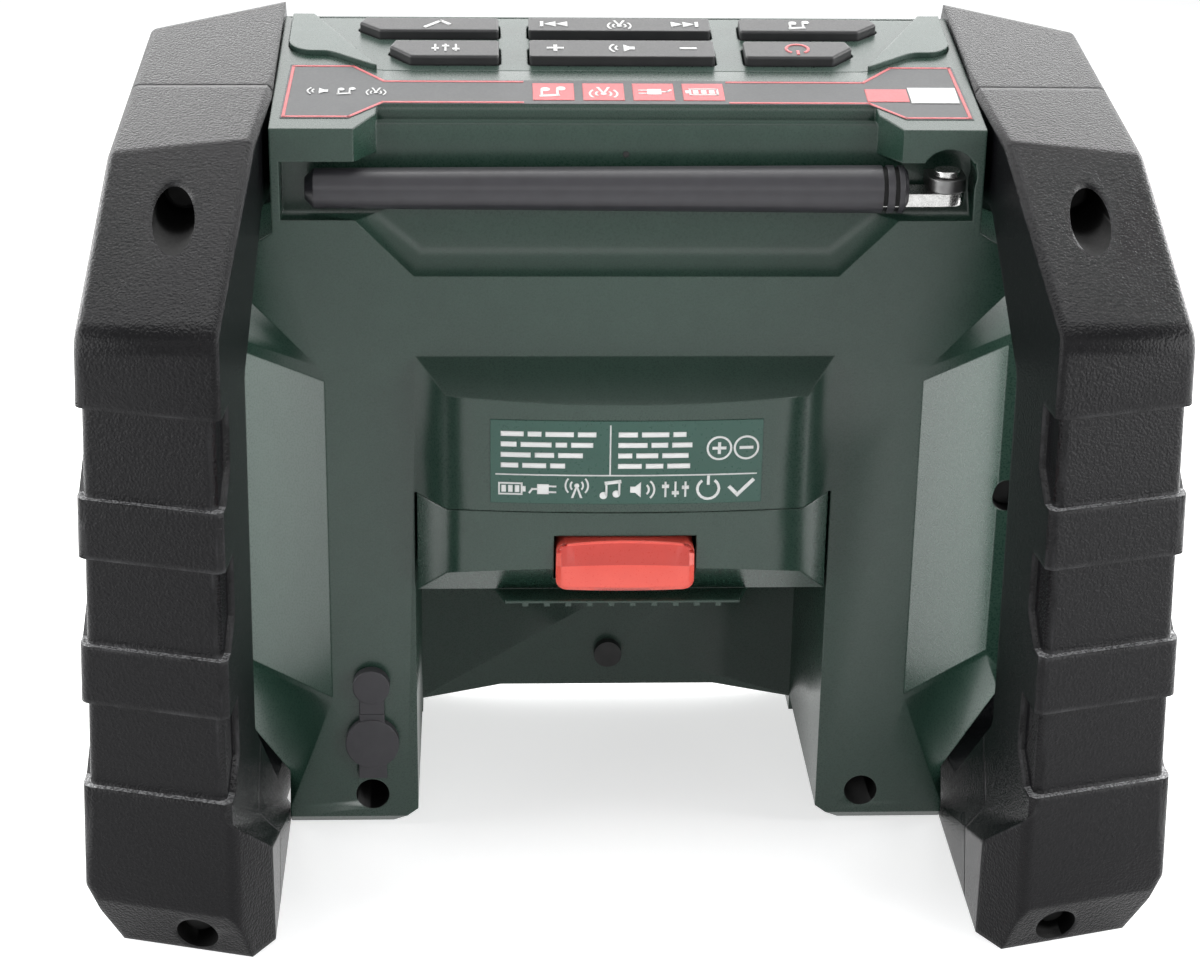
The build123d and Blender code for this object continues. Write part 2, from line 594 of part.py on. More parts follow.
# --- supply inlet --------------------------------------------------------------------------------
cap_back_y = rear_y + cap_gap
rubber_plane = Plane.XZ.offset(-cap_back_y)
anchor_z, hinge_z, tab_low_z = inlet_z + anchor_rise, inlet_z + hinge_rise, inlet_z - tab_drop
strap_thick = cap_thick - strap_sink
with BuildPart() as inlet_cap:
    with BuildSketch(rubber_plane):
        with Locations((inlet_x, inlet_z)):
            Circle(cap_radius)
    extrude(amount=-cap_thick)
    with BuildSketch(rubber_plane):
        with Locations((inlet_x, (hinge_z + inlet_z) / 2)):
            Rectangle(2 * strap_half, hinge_z - inlet_z)
    extrude(amount=-strap_thick)
    with BuildSketch(rubber_plane):
        with Locations((inlet_x, (tab_low_z + inlet_z) / 2)):
            Rectangle(2 * tab_half, inlet_z - tab_low_z)
    extrude(amount=tab_sink - cap_thick)
    add(rod_along_y(spigot_radius, inlet_x, inlet_z, rear_y - spigot_length, cap_back_y))

with BuildPart() as inlet_anchor:
    with BuildSketch(rubber_plane):
        with Locations((inlet_x, anchor_z)):
            Circle(anchor_radius)
    extrude(amount=-cap_thick - anchor_proud)
    with BuildSketch(rubber_plane):
        with Locations((inlet_x, (hinge_z + anchor_z) / 2)):
            Rectangle(2 * strap_half, anchor_z - hinge_z)
    extrude(amount=-strap_thick)

with BuildPart() as inlet_jack:
    jack_face_y = rear_y - wall - seam_gap
    jack_back_y = jack_face_y - jack_depth
    add(box_between((inlet_x - jack_half, jack_back_y, inlet_z - jack_half),
                    (inlet_x + jack_half, jack_face_y, inlet_z + jack_half)))
    add(rod_along_y(jack_bore, inlet_x, inlet_z, jack_back_y + jack_floor, jack_face_y), mode=Mode.SUBTRACT)
    add(rod_along_y(jack_pin, inlet_x, inlet_z, jack_back_y + jack_floor, jack_face_y - jack_pin))

# --- front: loudspeaker, display, main board ------------------------------------------------------
speaker_axis = Axis((0, 0, speaker_z), (0, 1, 0))
with BuildPart() as speaker_grille:
    rim_y, rim_x = front_y - grille_rim, grille_radius - rim_width
    dome_y = rim_y - grille_dome
    with BuildSketch(Plane.XY.offset(speaker_z)):
        with BuildLine():
            Polyline((0, dome_y + grille_thick), (0, dome_y), (grille_flat, dome_y), (rim_x, rim_y),
                     (grille_radius, rim_y), (grille_radius, front_y), (rim_x, front_y),
                     (rim_x, rim_y + grille_thick), (grille_flat, dome_y + grille_thick), close=True)
        make_face()
    revolve(axis=speaker_axis)
    reach = grille_radius - slot_margin
    with BuildSketch(Plane.XZ.offset(far)):
        for i in range(slot_count):
            height = (i - (slot_count - 1) / 2) * slot_pitch
            with Locations((0, speaker_z + height)):
                Rectangle(2 * sqrt(reach ** 2 - height ** 2), slot_width)
    extrude(amount=-2 * far, mode=Mode.SUBTRACT)

basket_y, basket_edge = front_inner_y, speaker_radius - basket_flange
with BuildPart() as speaker_basket:
    with BuildSketch(Plane.XY.offset(speaker_z)):
        with BuildLine():
            Polyline((0, basket_y + basket_depth - basket_skin),
                     (magnet_radius - basket_skin, basket_y + basket_depth - basket_skin),
                     (basket_edge, basket_y + basket_skin), (basket_edge, basket_y),
                     (speaker_radius, basket_y), (speaker_radius, basket_y + basket_skin),
                     (magnet_radius, basket_y + basket_depth), (0, basket_y + basket_depth), close=True)
        make_face()
    revolve(axis=speaker_axis)

with BuildPart() as speaker_magnet:
    add(rod_along_y(magnet_radius, 0, speaker_z, basket_y + basket_depth,
                    basket_y + basket_depth + magnet_depth))

with BuildPart() as speaker_cone:
    cone_edge, cone_y = basket_edge - seam_gap, basket_y + cone_depth
    with BuildSketch(Plane.XY.offset(speaker_z)):
        with BuildLine():
            Polyline((0, cone_y), (dust_cap, cone_y), (cone_edge, basket_y + cone_skin),
                     (cone_edge, basket_y), (dust_cap, cone_y - cone_skin),
                     (0, cone_y - dust_cap_depth), close=True)
        make_face()
    revolve(axis=speaker_axis)

with BuildPart() as display_window:
    add(display_box(-seam_gap, front_y, front_inner_y))
    add(display_box(display_edge, front_inner_y, front_inner_y + window_flange))

with BuildPart() as display_module:
    module_y = front_inner_y + window_flange
    add(display_box(-module_margin, module_y, module_y + module_thick))

with BuildPart() as main_board:
    add(box_between((-main_board_half, main_board_y - board_thick, main_board_low_z),
                    (main_board_half, main_board_y, main_board_low_z + main_board_height)))
    for x, rise, size, height in chips:
        chip = Pos(x, main_board_y - board_thick - height / 2, main_board_low_z + rise)
        add(chip * Box(size, height, size, mode=Mode.PRIVATE))

# --- roll bars --------------------------------------------------------------------------------------
bar_clearance = body_form(-seam_gap)
bar_side = Plane(origin=(body_half, bar_turn_y, 0),
                 x_dir=(sin(radians(bar_yaw)), cos(radians(bar_yaw)), 0),
                 z_dir=(cos(radians(bar_yaw)), -sin(radians(bar_yaw)), 0))
bar_corner_at = (bar_inner_x, crown_front_y, crown_z)


def turned(reach, z):
    """Direction with a part to the rear, square to the turned side, and a part upwards."""
    return (reach * sin(radians(bar_yaw)), reach * cos(radians(bar_yaw)), z)


def bar_faces(inset):
    """Planes of a roll bar on the +X side, set back by an inset."""
    knee_at = (bar_rear + bar_knee_z * tan(radians(bar_tilt)), bar_knee_z, 0)
    faces = {
        "rear": (bar_side.from_local_coords(knee_at), turned(1, tan(radians(bar_tilt)))),
        "ground": (bar_side.from_local_coords((bar_ground, 0, 0)),
                   turned(bar_knee_z, bar_ground - bar_rear)),
        "facet": ((body_half + 6, facet_rear_y, facet_z), bar_facet),
        "crown": (bar_corner_at, bar_crown),
        "brow": (bar_corner_at, bar_brow),
        "cheek": ((bar_outer - 5, crown_front_y, 0), bar_cheek),
        "outside": ((bar_outer, facet_rear_y, bar_knee_z), bar_outside),
        "toe": ((bar_outer, facet_rear_y, bar_toe_z), (bar_toe_z, 0, -bar_toe)),
        "heel": ((bar_inner_x, heel_y, 0), bar_heel),
        "bottom": ((0, bar_bottom_y, 0), (0, -bar_toe_z, bar_front_y - bar_bottom_y)),
        "inside": ((bar_inner_x, bar_turn_y, facet_z), bar_inside),
        "foot": ((bar_inner_x, rear_y, foot_inner_z), foot_top),
    }
    return {name: Plane(origin=at, z_dir=normal).offset(-inset) for name, (at, normal) in faces.items()}


def bevelled(form, face, other):
    """The form with an even bevel along the edge between two of its faces."""
    edge = face.intersect(other)
    bevel = Plane(origin=edge.position, z_dir=face.z_dir + other.z_dir)
    return split(form, bisect_by=bevel.offset(-inner_bevel), keep=Keep.BOTTOM)


def bar_form(inset):
    """Roll bar on the +X side, before its opening is cut."""
    faces = bar_faces(inset)
    form = box_between((bar_inner_x + inset, bar_front_y + inset, inset), (far, far, far))
    for name in ("rear", "ground", "facet", "crown", "brow", "cheek", "outside", "toe", "heel", "bottom"):
        form = split(form, bisect_by=faces[name], keep=Keep.BOTTOM)
    across = form.edges().filter_by(lambda e: abs((e @ 0).X - (e @ 1).X) > grip_depth / 2)
    bends = across.filter_by(lambda e: (e @ 0).Y > 0 and (e @ 0).Z > facet_z / 2)
    form = fillet(bends, bar_bend - inset)
    outer = form.edges().filter_by(lambda e: min((e @ 0).X, (e @ 1).X) > body_half + grip_depth)
    outer = outer.filter_by(lambda e: min((e @ 0).Y, (e @ 1).Y) > crown_front_y and (e @ 0).Z > bar_toe_z / 2)
    form = fillet(outer, bar_edge - inset / 2)
    form = bevelled(form, faces["heel"], faces["rear"])
    grip = split(form, bisect_by=faces["inside"], keep=Keep.BOTTOM)
    for name in ("rear", "facet", "crown"):
        grip = bevelled(grip, faces["inside"], faces[name])
    return grip + split(form, bisect_by=faces["foot"], keep=Keep.BOTTOM)


def through_bar(outline):
    """A prism through the roll bar, from an outline in the plane of its side."""
    return extrude(bar_side * outline, amount=far, both=True)


full_bar, slim_bar = bar_form(0), bar_form(groove_depth)
grip_start = bar_rear - grip_depth
with BuildSketch(Plane.XY) as opening:
    with BuildLine():
        FilletPolyline((opening_front, opening_low_z + opening_cut / 2),
                       (opening_front + opening_cut / 2, opening_low_z),
                       (grip_start - opening_cut, opening_low_z), (grip_start, opening_rear_low_z),
                       (grip_start, opening_rear_high_z),
                       (grip_start - opening_cut, opening_high_z),
                       (opening_front + opening_cut / 2, opening_high_z),
                       (opening_front, opening_high_z - opening_cut / 2),
                       radius=opening_round, close=True)
    make_face()
groove_start = bar_rear - groove_wrap
with BuildSketch(Plane.XY) as grooves:
    for top in groove_tops:
        low = top - groove_height
        with BuildLine():
            Polyline((far, top), (groove_start, top), (groove_start, low + groove_slant),
                     (groove_start + groove_slant, low), (far, low), close=True)
        make_face()
bar_loop = full_bar - (through_bar(grooves.sketch) - slim_bar) - through_bar(opening.sketch) - bar_clearance
bar_seam = Plane(origin=(body_half, bar_turn_y, seam_z), z_dir=seam_face)
bar_bores = [(upper_bore_x, upper_bore_z, upper_seat_y, upper_tip_y),
             (lower_bore_x, lower_bore_z, lower_seat_y, lower_tip_y)]
for x, z, seat_y, tip_y in bar_bores:
    bar_loop -= rod_along_y(bore_radius, x, z, seat_y, far)
    bar_loop -= rod_along_y(screw_radius + slip, x, z, tip_y, seat_y)
bars = {}
for half, keep, shift in (("rear", Keep.TOP, seam_gap), ("front", Keep.BOTTOM, 0)):
    with BuildPart() as bar:
        add(split(bar_loop, bisect_by=bar_seam.offset(shift), keep=keep))
    with BuildPart() as mirrored:
        add(mirror(bar.part, about=Plane.YZ))
    bars[f"roll_bar_left_{half}"] = bar
    bars[f"roll_bar_right_{half}"] = mirrored


def screw(x, z, seat_y, tip_y):
    """Pan-head screw along Y; its head sits at seat_y and looks to the rear."""
    shaft = rod_along_y(screw_radius, x, z, tip_y, seat_y)
    head = rod_along_y(head_radius, x, z, seat_y, seat_y + head_height)
    with BuildSketch(Plane.XZ.offset(-seat_y - head_height)) as socket:
        with Locations((x, z)):
            RegularPolygon(socket_radius, 6)
    return shaft + head - extrude(socket.sketch, amount=socket_depth)


with BuildPart() as roll_bar_screws:
    for x, z, seat_y, tip_y in bar_bores:
        for side in (-1, 1):
            add(screw(side * x, z, seat_y, tip_y))

with BuildPart() as shell_screws:
    for x, z in body_screws:
        add(screw(x, z, body_seat_y, screw_tip_y))
    add(screw(0, bay_screw_z, bay_back_y, screw_tip_y))

# --- export ------------------------------------------------------------------------------------------
pieces = {
    "rear_shell": rear_shell,
    "front_shell": front_shell,
    "top_panel": top_panel,
    **keys,
    "keypad_mat": keypad_mat,
    "control_board": control_board,
    "battery_dock": battery_dock,
    "release_button": release_button,
    "release_spring": release_spring,
    "terminal_block": terminal_block,
    "terminal_blades": terminal_blades,
    "aerial_stud": aerial_stud,
    "aerial_blade": aerial_blade,
    "aerial_pivot": aerial_pivot,
    "aerial_sleeve": aerial_sleeve,
    "inlet_cap": inlet_cap,
    "inlet_anchor": inlet_anchor,
    "inlet_jack": inlet_jack,
    "speaker_grille": speaker_grille,
    "speaker_basket": speaker_basket,
    "speaker_magnet": speaker_magnet,
    "speaker_cone": speaker_cone,
    "display_window": display_window,
    "display_module": display_module,
    "main_board": main_board,
    **bars,
    "roll_bar_screws": roll_bar_screws,
    "shell_screws": shell_screws,
}
for name, piece in pieces.items():
    piece.part.label = name
    export_step(piece.part, f"parts/{name}.step")
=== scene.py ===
import json
import math

import bmesh
import bpy
from mathutils import Matrix, Vector


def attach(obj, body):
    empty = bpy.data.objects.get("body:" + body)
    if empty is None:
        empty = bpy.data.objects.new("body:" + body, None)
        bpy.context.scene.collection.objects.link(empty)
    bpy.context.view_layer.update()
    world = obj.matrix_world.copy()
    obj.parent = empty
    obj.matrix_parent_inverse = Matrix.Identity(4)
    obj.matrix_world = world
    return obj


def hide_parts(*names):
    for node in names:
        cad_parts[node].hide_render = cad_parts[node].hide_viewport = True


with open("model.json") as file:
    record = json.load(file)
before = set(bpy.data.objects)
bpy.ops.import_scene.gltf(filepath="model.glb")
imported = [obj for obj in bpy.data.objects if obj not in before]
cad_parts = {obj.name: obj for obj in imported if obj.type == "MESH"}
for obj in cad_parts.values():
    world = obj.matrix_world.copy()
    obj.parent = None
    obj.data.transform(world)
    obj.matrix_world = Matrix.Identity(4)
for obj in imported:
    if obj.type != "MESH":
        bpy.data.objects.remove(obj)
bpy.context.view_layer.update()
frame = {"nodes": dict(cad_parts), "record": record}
nodes = frame["nodes"]
print("frame loaded:", len(nodes), "nodes")

mm = 0.001
collection = bpy.context.scene.collection


# node tree helpers
def put(tree, kind, **values):
    node = tree.nodes.new(kind)
    for key, value in values.items():
        if key in node.inputs:
            node.inputs[key].default_value = value
        else:
            setattr(node, key, value)
    return node


def wire(tree, source, target):
    tree.links.new(source, target)


def startGroup(name, inputs, outputs, under=False):
    tree = bpy.data.node_groups.new(name, "ShaderNodeTree")
    if under:  # the normal that a grain is laid on
        tree.interface.new_socket("Under", in_out="INPUT", socket_type="NodeSocketVector")
    for label, value in inputs.items():
        socket = tree.interface.new_socket(label, in_out="INPUT", socket_type="NodeSocketFloat")
        socket.default_value = value
    for label, kind in outputs.items():
        tree.interface.new_socket(label, in_out="OUTPUT", socket_type=kind)
    return tree, tree.nodes.new("NodeGroupInput"), tree.nodes.new("NodeGroupOutput")


def math2(tree, operation, a, b, clamp=False):
    node = put(tree, "ShaderNodeMath", operation=operation, use_clamp=clamp)
    for socket, value in zip(node.inputs, (a, b)):
        if isinstance(value, (int, float)):
            socket.default_value = value
        else:
            wire(tree, value, socket)
    return node.outputs[0]


def remap(tree, value, low, high):
    node = put(tree, "ShaderNodeMapRange", clamp=True)
    wire(tree, value, node.inputs["Value"])
    node.inputs["From Min"].default_value = low
    node.inputs["From Max"].default_value = high
    return node.outputs["Result"]


# moulded texture: small pits and soft lumps, both from object coordinates
def makeMouldGrain():
    tree, ins, outs = startGroup(
        "mouldGrain",
        {"Pits per metre": 1500.0, "Lumps per metre": 220.0, "Depth": 0.0001, "Lumpiness": 0.3},
        {"Normal": "NodeSocketVector", "Pits": "NodeSocketFloat", "Clouds": "NodeSocketFloat"}, True)
    place = put(tree, "ShaderNodeTexCoord")
    pits = put(tree, "ShaderNodeTexNoise", Detail=3.0, Roughness=0.6)
    lumps = put(tree, "ShaderNodeTexNoise", Detail=2.0, Roughness=0.5)
    for node, label in ((pits, "Pits per metre"), (lumps, "Lumps per metre")):
        wire(tree, place.outputs["Object"], node.inputs["Vector"])
        wire(tree, ins.outputs[label], node.inputs["Scale"])
    height = math2(tree, "ADD", pits.outputs[0],
                   math2(tree, "MULTIPLY", lumps.outputs[0], ins.outputs["Lumpiness"]))
    bump = put(tree, "ShaderNodeBump", Strength=1.0)
    wire(tree, ins.outputs["Depth"], bump.inputs["Distance"])
    wire(tree, height, bump.inputs["Height"])
    wire(tree, ins.outputs["Under"], bump.inputs["Normal"])
    wire(tree, bump.outputs[0], outs.inputs["Normal"])
    wire(tree, pits.outputs[0], outs.inputs["Pits"])
    wire(tree, lumps.outputs[0], outs.inputs["Clouds"])
    return tree


# leathery grip texture: flat scales with creases between them
def makeGripGrain():
    tree, ins, outs = startGroup(
        "gripGrain",
        {"Scales per metre": 700.0, "Depth": 0.0002, "Fine per metre": 2600.0},
        {"Normal": "NodeSocketVector", "Creases": "NodeSocketFloat", "Speckle": "NodeSocketFloat"}, True)
    place = put(tree, "ShaderNodeTexCoord")
    warp = put(tree, "ShaderNodeTexNoise", Scale=400.0, Detail=2.0)
    wire(tree, place.outputs["Object"], warp.inputs["Vector"])
    shift = put(tree, "ShaderNodeVectorMath", operation="SCALE", Scale=0.0012)
    wire(tree, warp.outputs["Color"], shift.inputs[0])
    moved = put(tree, "ShaderNodeVectorMath", operation="ADD")
    wire(tree, place.outputs["Object"], moved.inputs[0])
    wire(tree, shift.outputs[0], moved.inputs[1])
    scales = put(tree, "ShaderNodeTexVoronoi", feature="SMOOTH_F1", Smoothness=0.5)
    wire(tree, moved.outputs[0], scales.inputs["Vector"])
    wire(tree, ins.outputs["Scales per metre"], scales.inputs["Scale"])
    fine = put(tree, "ShaderNodeTexNoise", Detail=2.0, Roughness=0.7)
    wire(tree, place.outputs["Object"], fine.inputs["Vector"])
    wire(tree, ins.outputs["Fine per metre"], fine.inputs["Scale"])
    humps = math2(tree, "SUBTRACT", 1.0, scales.outputs["Distance"])
    height = math2(tree, "ADD", humps, math2(tree, "MULTIPLY", fine.outputs[0], 0.6))
    bump = put(tree, "ShaderNodeBump", Strength=1.0)
    wire(tree, ins.outputs["Depth"], bump.inputs["Distance"])
    wire(tree, height, bump.inputs["Height"])
    wire(tree, ins.outputs["Under"], bump.inputs["Normal"])
    wire(tree, bump.outputs[0], outs.inputs["Normal"])
    wire(tree, remap(tree, scales.outputs["Distance"], 0.25, 0.75), outs.inputs["Creases"])
    wire(tree, fine.outputs[0], outs.inputs["Speckle"])
    return tree


# rounded edges, and where they are rubbed: the rounded normal turns away from the face there. On the grip
# bars and the aerial sleeve the lighter edge colour is a painted highlight
def makeSoftEdge():
    tree, ins, outs = startGroup(
        "softEdge", {"Radius": 0.0008, "Amount": 0.5, "Patches per metre": 90.0},
        {"Normal": "NodeSocketVector", "Mask": "NodeSocketFloat"})
    rounded = put(tree, "ShaderNodeBevel", samples=6)
    wire(tree, ins.outputs["Radius"], rounded.inputs["Radius"])
    wire(tree, rounded.outputs[0], outs.inputs["Normal"])
    facing = put(tree, "ShaderNodeNewGeometry")
    dot = put(tree, "ShaderNodeVectorMath", operation="DOT_PRODUCT")
    wire(tree, rounded.outputs[0], dot.inputs[0])
    wire(tree, facing.outputs["Normal"], dot.inputs[1])
    edge = remap(tree, math2(tree, "SUBTRACT", 1.0, dot.outputs["Value"]), 0.02, 0.2)
    place = put(tree, "ShaderNodeTexCoord")
    patches = put(tree, "ShaderNodeTexNoise", Detail=5.0, Roughness=0.65)
    wire(tree, place.outputs["Object"], patches.inputs["Vector"])
    wire(tree, ins.outputs["Patches per metre"], patches.inputs["Scale"])
    broken = math2(tree, "MULTIPLY", edge, remap(tree, patches.outputs[0], 0.42, 0.68))
    wire(tree, math2(tree, "MULTIPLY", broken, ins.outputs["Amount"], True), outs.inputs["Mask"])
    return tree


# a thin film of dust on what faces up
def makeDust():
    tree, ins, outs = startGroup("dustFilm", {"Amount": 0.2, "Patches per metre": 35.0},
                                 {"Mask": "NodeSocketFloat"})
    facing = put(tree, "ShaderNodeNewGeometry")
    split = put(tree, "ShaderNodeSeparateXYZ")
    wire(tree, facing.outputs["Normal"], split.inputs[0])
    up = remap(tree, split.outputs["Z"], 0.5, 1.0)
    place = put(tree, "ShaderNodeTexCoord")
    patches = put(tree, "ShaderNodeTexNoise", Detail=6.0, Roughness=0.7)
    wire(tree, place.outputs["Object"], patches.inputs["Vector"])
    wire(tree, ins.outputs["Patches per metre"], patches.inputs["Scale"])
    film = math2(tree, "MULTIPLY", up, remap(tree, patches.outputs[0], 0.15, 0.95))
    wire(tree, math2(tree, "MULTIPLY", film, ins.outputs["Amount"], True), outs.inputs["Mask"])
    return tree


mouldGrain, gripGrain, softEdge, dustFilm = makeMouldGrain(), makeGripGrain(), makeSoftEdge(), makeDust()


def useGroup(tree, group, **values):
    node = tree.nodes.new("ShaderNodeGroup")
    node.node_tree = group
    for label, value in values.items():
        node.inputs[label.replace("_", " ")].default_value = value
    return node


def blendColour(tree, factor, a, b):
    node = put(tree, "ShaderNodeMix", data_type="RGBA")
    wire(tree, factor, node.inputs["Factor"])
    for socket, value in ((node.inputs[6], a), (node.inputs[7], b)):
        if isinstance(value, tuple):
            socket.default_value = (*value, 1)
        else:
            wire(tree, value, socket)
    return node.outputs[2]


dustGrey = (0.42, 0.42, 0.40)


# one finish per material: colour clouds, grain, rubbed edges that are partly a painted highlight, and dust
def makeFinish(name, s):
    material = bpy.data.materials.new(name)
    material.use_nodes = True
    tree = material.node_tree
    shader = tree.nodes["Principled BSDF"]
    shader.inputs["Metallic"].default_value = s.get("metal", 0.0)
    shader.inputs["Specular IOR Level"].default_value = s.get("specular", 0.5)
    if s.get("grip"):
        grain = useGroup(tree, gripGrain, Scales_per_metre=s["scales"], Depth=s["depth"] * mm,
                         Fine_per_metre=s["fine"])
        spots, clouds = grain.outputs["Speckle"], grain.outputs["Creases"]
    else:
        grain = useGroup(tree, mouldGrain, Pits_per_metre=s["pits"], Lumps_per_metre=s["lumps"],
                         Depth=s["depth"] * mm)
        spots, clouds = grain.outputs["Pits"], grain.outputs["Clouds"]
    edge = useGroup(tree, softEdge, Radius=s.get("round", 0.4) * mm, Amount=s.get("rubAndSheen", 0.0))
    wire(tree, edge.outputs["Normal"], grain.inputs["Under"])
    wire(tree, grain.outputs["Normal"], shader.inputs["Normal"])
    colour = blendColour(tree, remap(tree, clouds, 0.3, 0.7), s["colour"], s["shade"])
    # lighter colour on rubbed edges: rubbing on most finishes, a painted highlight on the grip bars and the
    # aerial sleeve
    if s.get("rubAndSheen"):
        colour = blendColour(tree, edge.outputs["Mask"], colour, s["rubAndSheenColour"])
    if s.get("dust"):
        dust = useGroup(tree, dustFilm, Amount=s["dust"])
        colour = blendColour(tree, dust.outputs["Mask"], colour, dustGrey)
    wire(tree, colour, shader.inputs["Base Color"])
    low, high = s["rough"]
    rough = put(tree, "ShaderNodeMapRange", clamp=True)
    wire(tree, spots, rough.inputs["Value"])
    rough.inputs["From Min"].default_value = 0.3
    rough.inputs["From Max"].default_value = 0.7
    rough.inputs["To Min"].default_value = low
    rough.inputs["To Max"].default_value = high
    wire(tree, rough.outputs["Result"], shader.inputs["Roughness"])
    return material


finishes = {
    "bodyGreen": {"colour": (0.013, 0.036, 0.025), "shade": (0.016, 0.041, 0.029), "rough": (0.24, 0.33),
                  "pits": 2400.0, "lumps": 160.0, "depth": 0.012, "round": 0.55, "rubAndSheen": 0.55,
                  "rubAndSheenColour": (0.09, 0.13, 0.11), "dust": 0.03},
    "plateGreen": {"colour": (0.026, 0.052, 0.040), "shade": (0.030, 0.058, 0.046), "rough": (0.25, 0.34),
                   "pits": 2400.0, "lumps": 140.0, "depth": 0.012, "round": 0.5, "rubAndSheen": 0.5,
                   "rubAndSheenColour": (0.08, 0.12, 0.10), "dust": 0.05},
    # grip bars: the light edge colour here is a painted highlight
    "barBlack": {"grip": True, "colour": (0.0042, 0.0041, 0.0049), "shade": (0.0034, 0.0033, 0.0040),
                 "rough": (0.15, 0.28), "specular": 0.14, "scales": 1700.0, "fine": 3400.0, "depth": 0.11,
                 "round": 1.8, "rubAndSheen": 0.6, "rubAndSheenColour": (0.10, 0.10, 0.105)},
    # light grey on the up-facing steps of the grip: a painted highlight
    "barLedgePaintedHighlight": {"grip": True, "colour": (0.26, 0.26, 0.265), "shade": (0.07, 0.07, 0.072),
                 "rough": (0.2, 0.34), "scales": 1700.0, "fine": 3400.0, "depth": 0.2, "round": 0.3},
    "keyBlack": {"colour": (0.020, 0.020, 0.021), "shade": (0.026, 0.026, 0.027), "rough": (0.34, 0.46),
                 "specular": 0.4, "pits": 2200.0, "lumps": 260.0, "depth": 0.015, "round": 0.5, "rubAndSheen": 0.3,
                 "rubAndSheenColour": (0.08, 0.08, 0.08), "dust": 0.04},
    "buttonRed": {"colour": (0.84, 0.105, 0.075), "shade": (0.80, 0.095, 0.068), "rough": (0.26, 0.34),
                  "pits": 1800.0, "lumps": 200.0, "depth": 0.008, "round": 0.5, "rubAndSheen": 0.3,
                  "rubAndSheenColour": (0.85, 0.3, 0.25)},
    "softRubber": {"colour": (0.017, 0.016, 0.020), "shade": (0.022, 0.021, 0.025), "rough": (0.45, 0.6),
                   "pits": 1500.0, "lumps": 300.0, "depth": 0.02, "rubAndSheen": 0.25, "rubAndSheenColour": (0.08, 0.08, 0.09),
                   "dust": 0.08},
    # aerial sleeve: the light edge colour round the ring grooves is a painted highlight
    "sleeveBlack": {"colour": (0.020, 0.019, 0.023), "shade": (0.026, 0.025, 0.030), "rough": (0.34, 0.46),
                    "pits": 1800.0, "lumps": 240.0, "depth": 0.015, "round": 0.2, "rubAndSheen": 0.8,
                    "rubAndSheenColour": (0.16, 0.16, 0.17), "dust": 0.05},
    # near-black for bore insides and ring groove floors: a painted shade
    "boreBlackPaintedShade": {"colour": (0.004, 0.004, 0.004), "shade": (0.006, 0.006, 0.006), "rough": (0.5, 0.62),
                  "specular": 0.2, "pits": 1500.0, "lumps": 200.0, "depth": 0.01, "round": 0.2},
    # the button's red made darker for the face above the crease: a painted shade
    "buttonRedPaintedShade": {"colour": (0.60, 0.060, 0.045), "shade": (0.56, 0.054, 0.040), "rough": (0.26, 0.34),
                    "pits": 1800.0, "lumps": 200.0, "depth": 0.008, "round": 0.5},
    # black for inner parts, and the painted shade of the small hole in the aerial recess
    "insideBlackAndHoleShade": {"colour": (0.012, 0.012, 0.012), "shade": (0.016, 0.016, 0.016), "rough": (0.5, 0.62),
                    "pits": 1500.0, "lumps": 200.0, "depth": 0.02},
    "blackScrew": {"colour": (0.03, 0.03, 0.03), "shade": (0.02, 0.02, 0.02), "rough": (0.3, 0.42),
                   "metal": 0.7, "pits": 2500.0, "lumps": 400.0, "depth": 0.01},
    "brightSteel": {"colour": (0.62, 0.62, 0.61), "shade": (0.48, 0.48, 0.47), "rough": (0.18, 0.34),
                    "metal": 1.0, "pits": 3000.0, "lumps": 500.0, "depth": 0.006},
    "darkSteel": {"colour": (0.20, 0.20, 0.20), "shade": (0.14, 0.14, 0.14), "rough": (0.32, 0.45),
                  "metal": 1.0, "pits": 2500.0, "lumps": 400.0, "depth": 0.01},
    "grilleBlack": {"colour": (0.022, 0.022, 0.023), "shade": (0.030, 0.030, 0.031), "rough": (0.35, 0.5),
                    "pits": 2400.0, "lumps": 300.0, "depth": 0.02, "rubAndSheen": 0.4, "rubAndSheenColour": (0.3, 0.3, 0.3)},
    "contactBrass": {"colour": (0.70, 0.52, 0.22), "shade": (0.60, 0.44, 0.18), "rough": (0.22, 0.38),
                     "metal": 1.0, "pits": 2500.0, "lumps": 500.0, "depth": 0.006},
    "boardGreen": {"colour": (0.02, 0.13, 0.06), "shade": (0.02, 0.10, 0.05), "rough": (0.3, 0.42),
                   "pits": 900.0, "lumps": 300.0, "depth": 0.02},
    "filmGrey": {"colour": (0.065, 0.067, 0.069), "shade": (0.072, 0.074, 0.076), "rough": (0.36, 0.46),
                 "specular": 0.29, "pits": 1500.0, "lumps": 150.0, "depth": 0.006, "round": 0.1,
                 "dust": 0.02},
    "printRed": {"colour": (0.62, 0.105, 0.115), "shade": (0.58, 0.095, 0.105), "rough": (0.36, 0.46),
                 "pits": 1500.0, "lumps": 150.0, "depth": 0.006},
    "printWhite": {"colour": (0.78, 0.78, 0.77), "shade": (0.72, 0.72, 0.71), "rough": (0.4, 0.5),
                   "pits": 1500.0, "lumps": 150.0, "depth": 0.006},
    "plateDark": {"colour": (0.010, 0.060, 0.042), "shade": (0.012, 0.066, 0.047), "rough": (0.26, 0.34),
                  "pits": 1200.0, "lumps": 120.0, "depth": 0.008},
}
materials = {name: makeFinish(name, s) for name, s in finishes.items()}


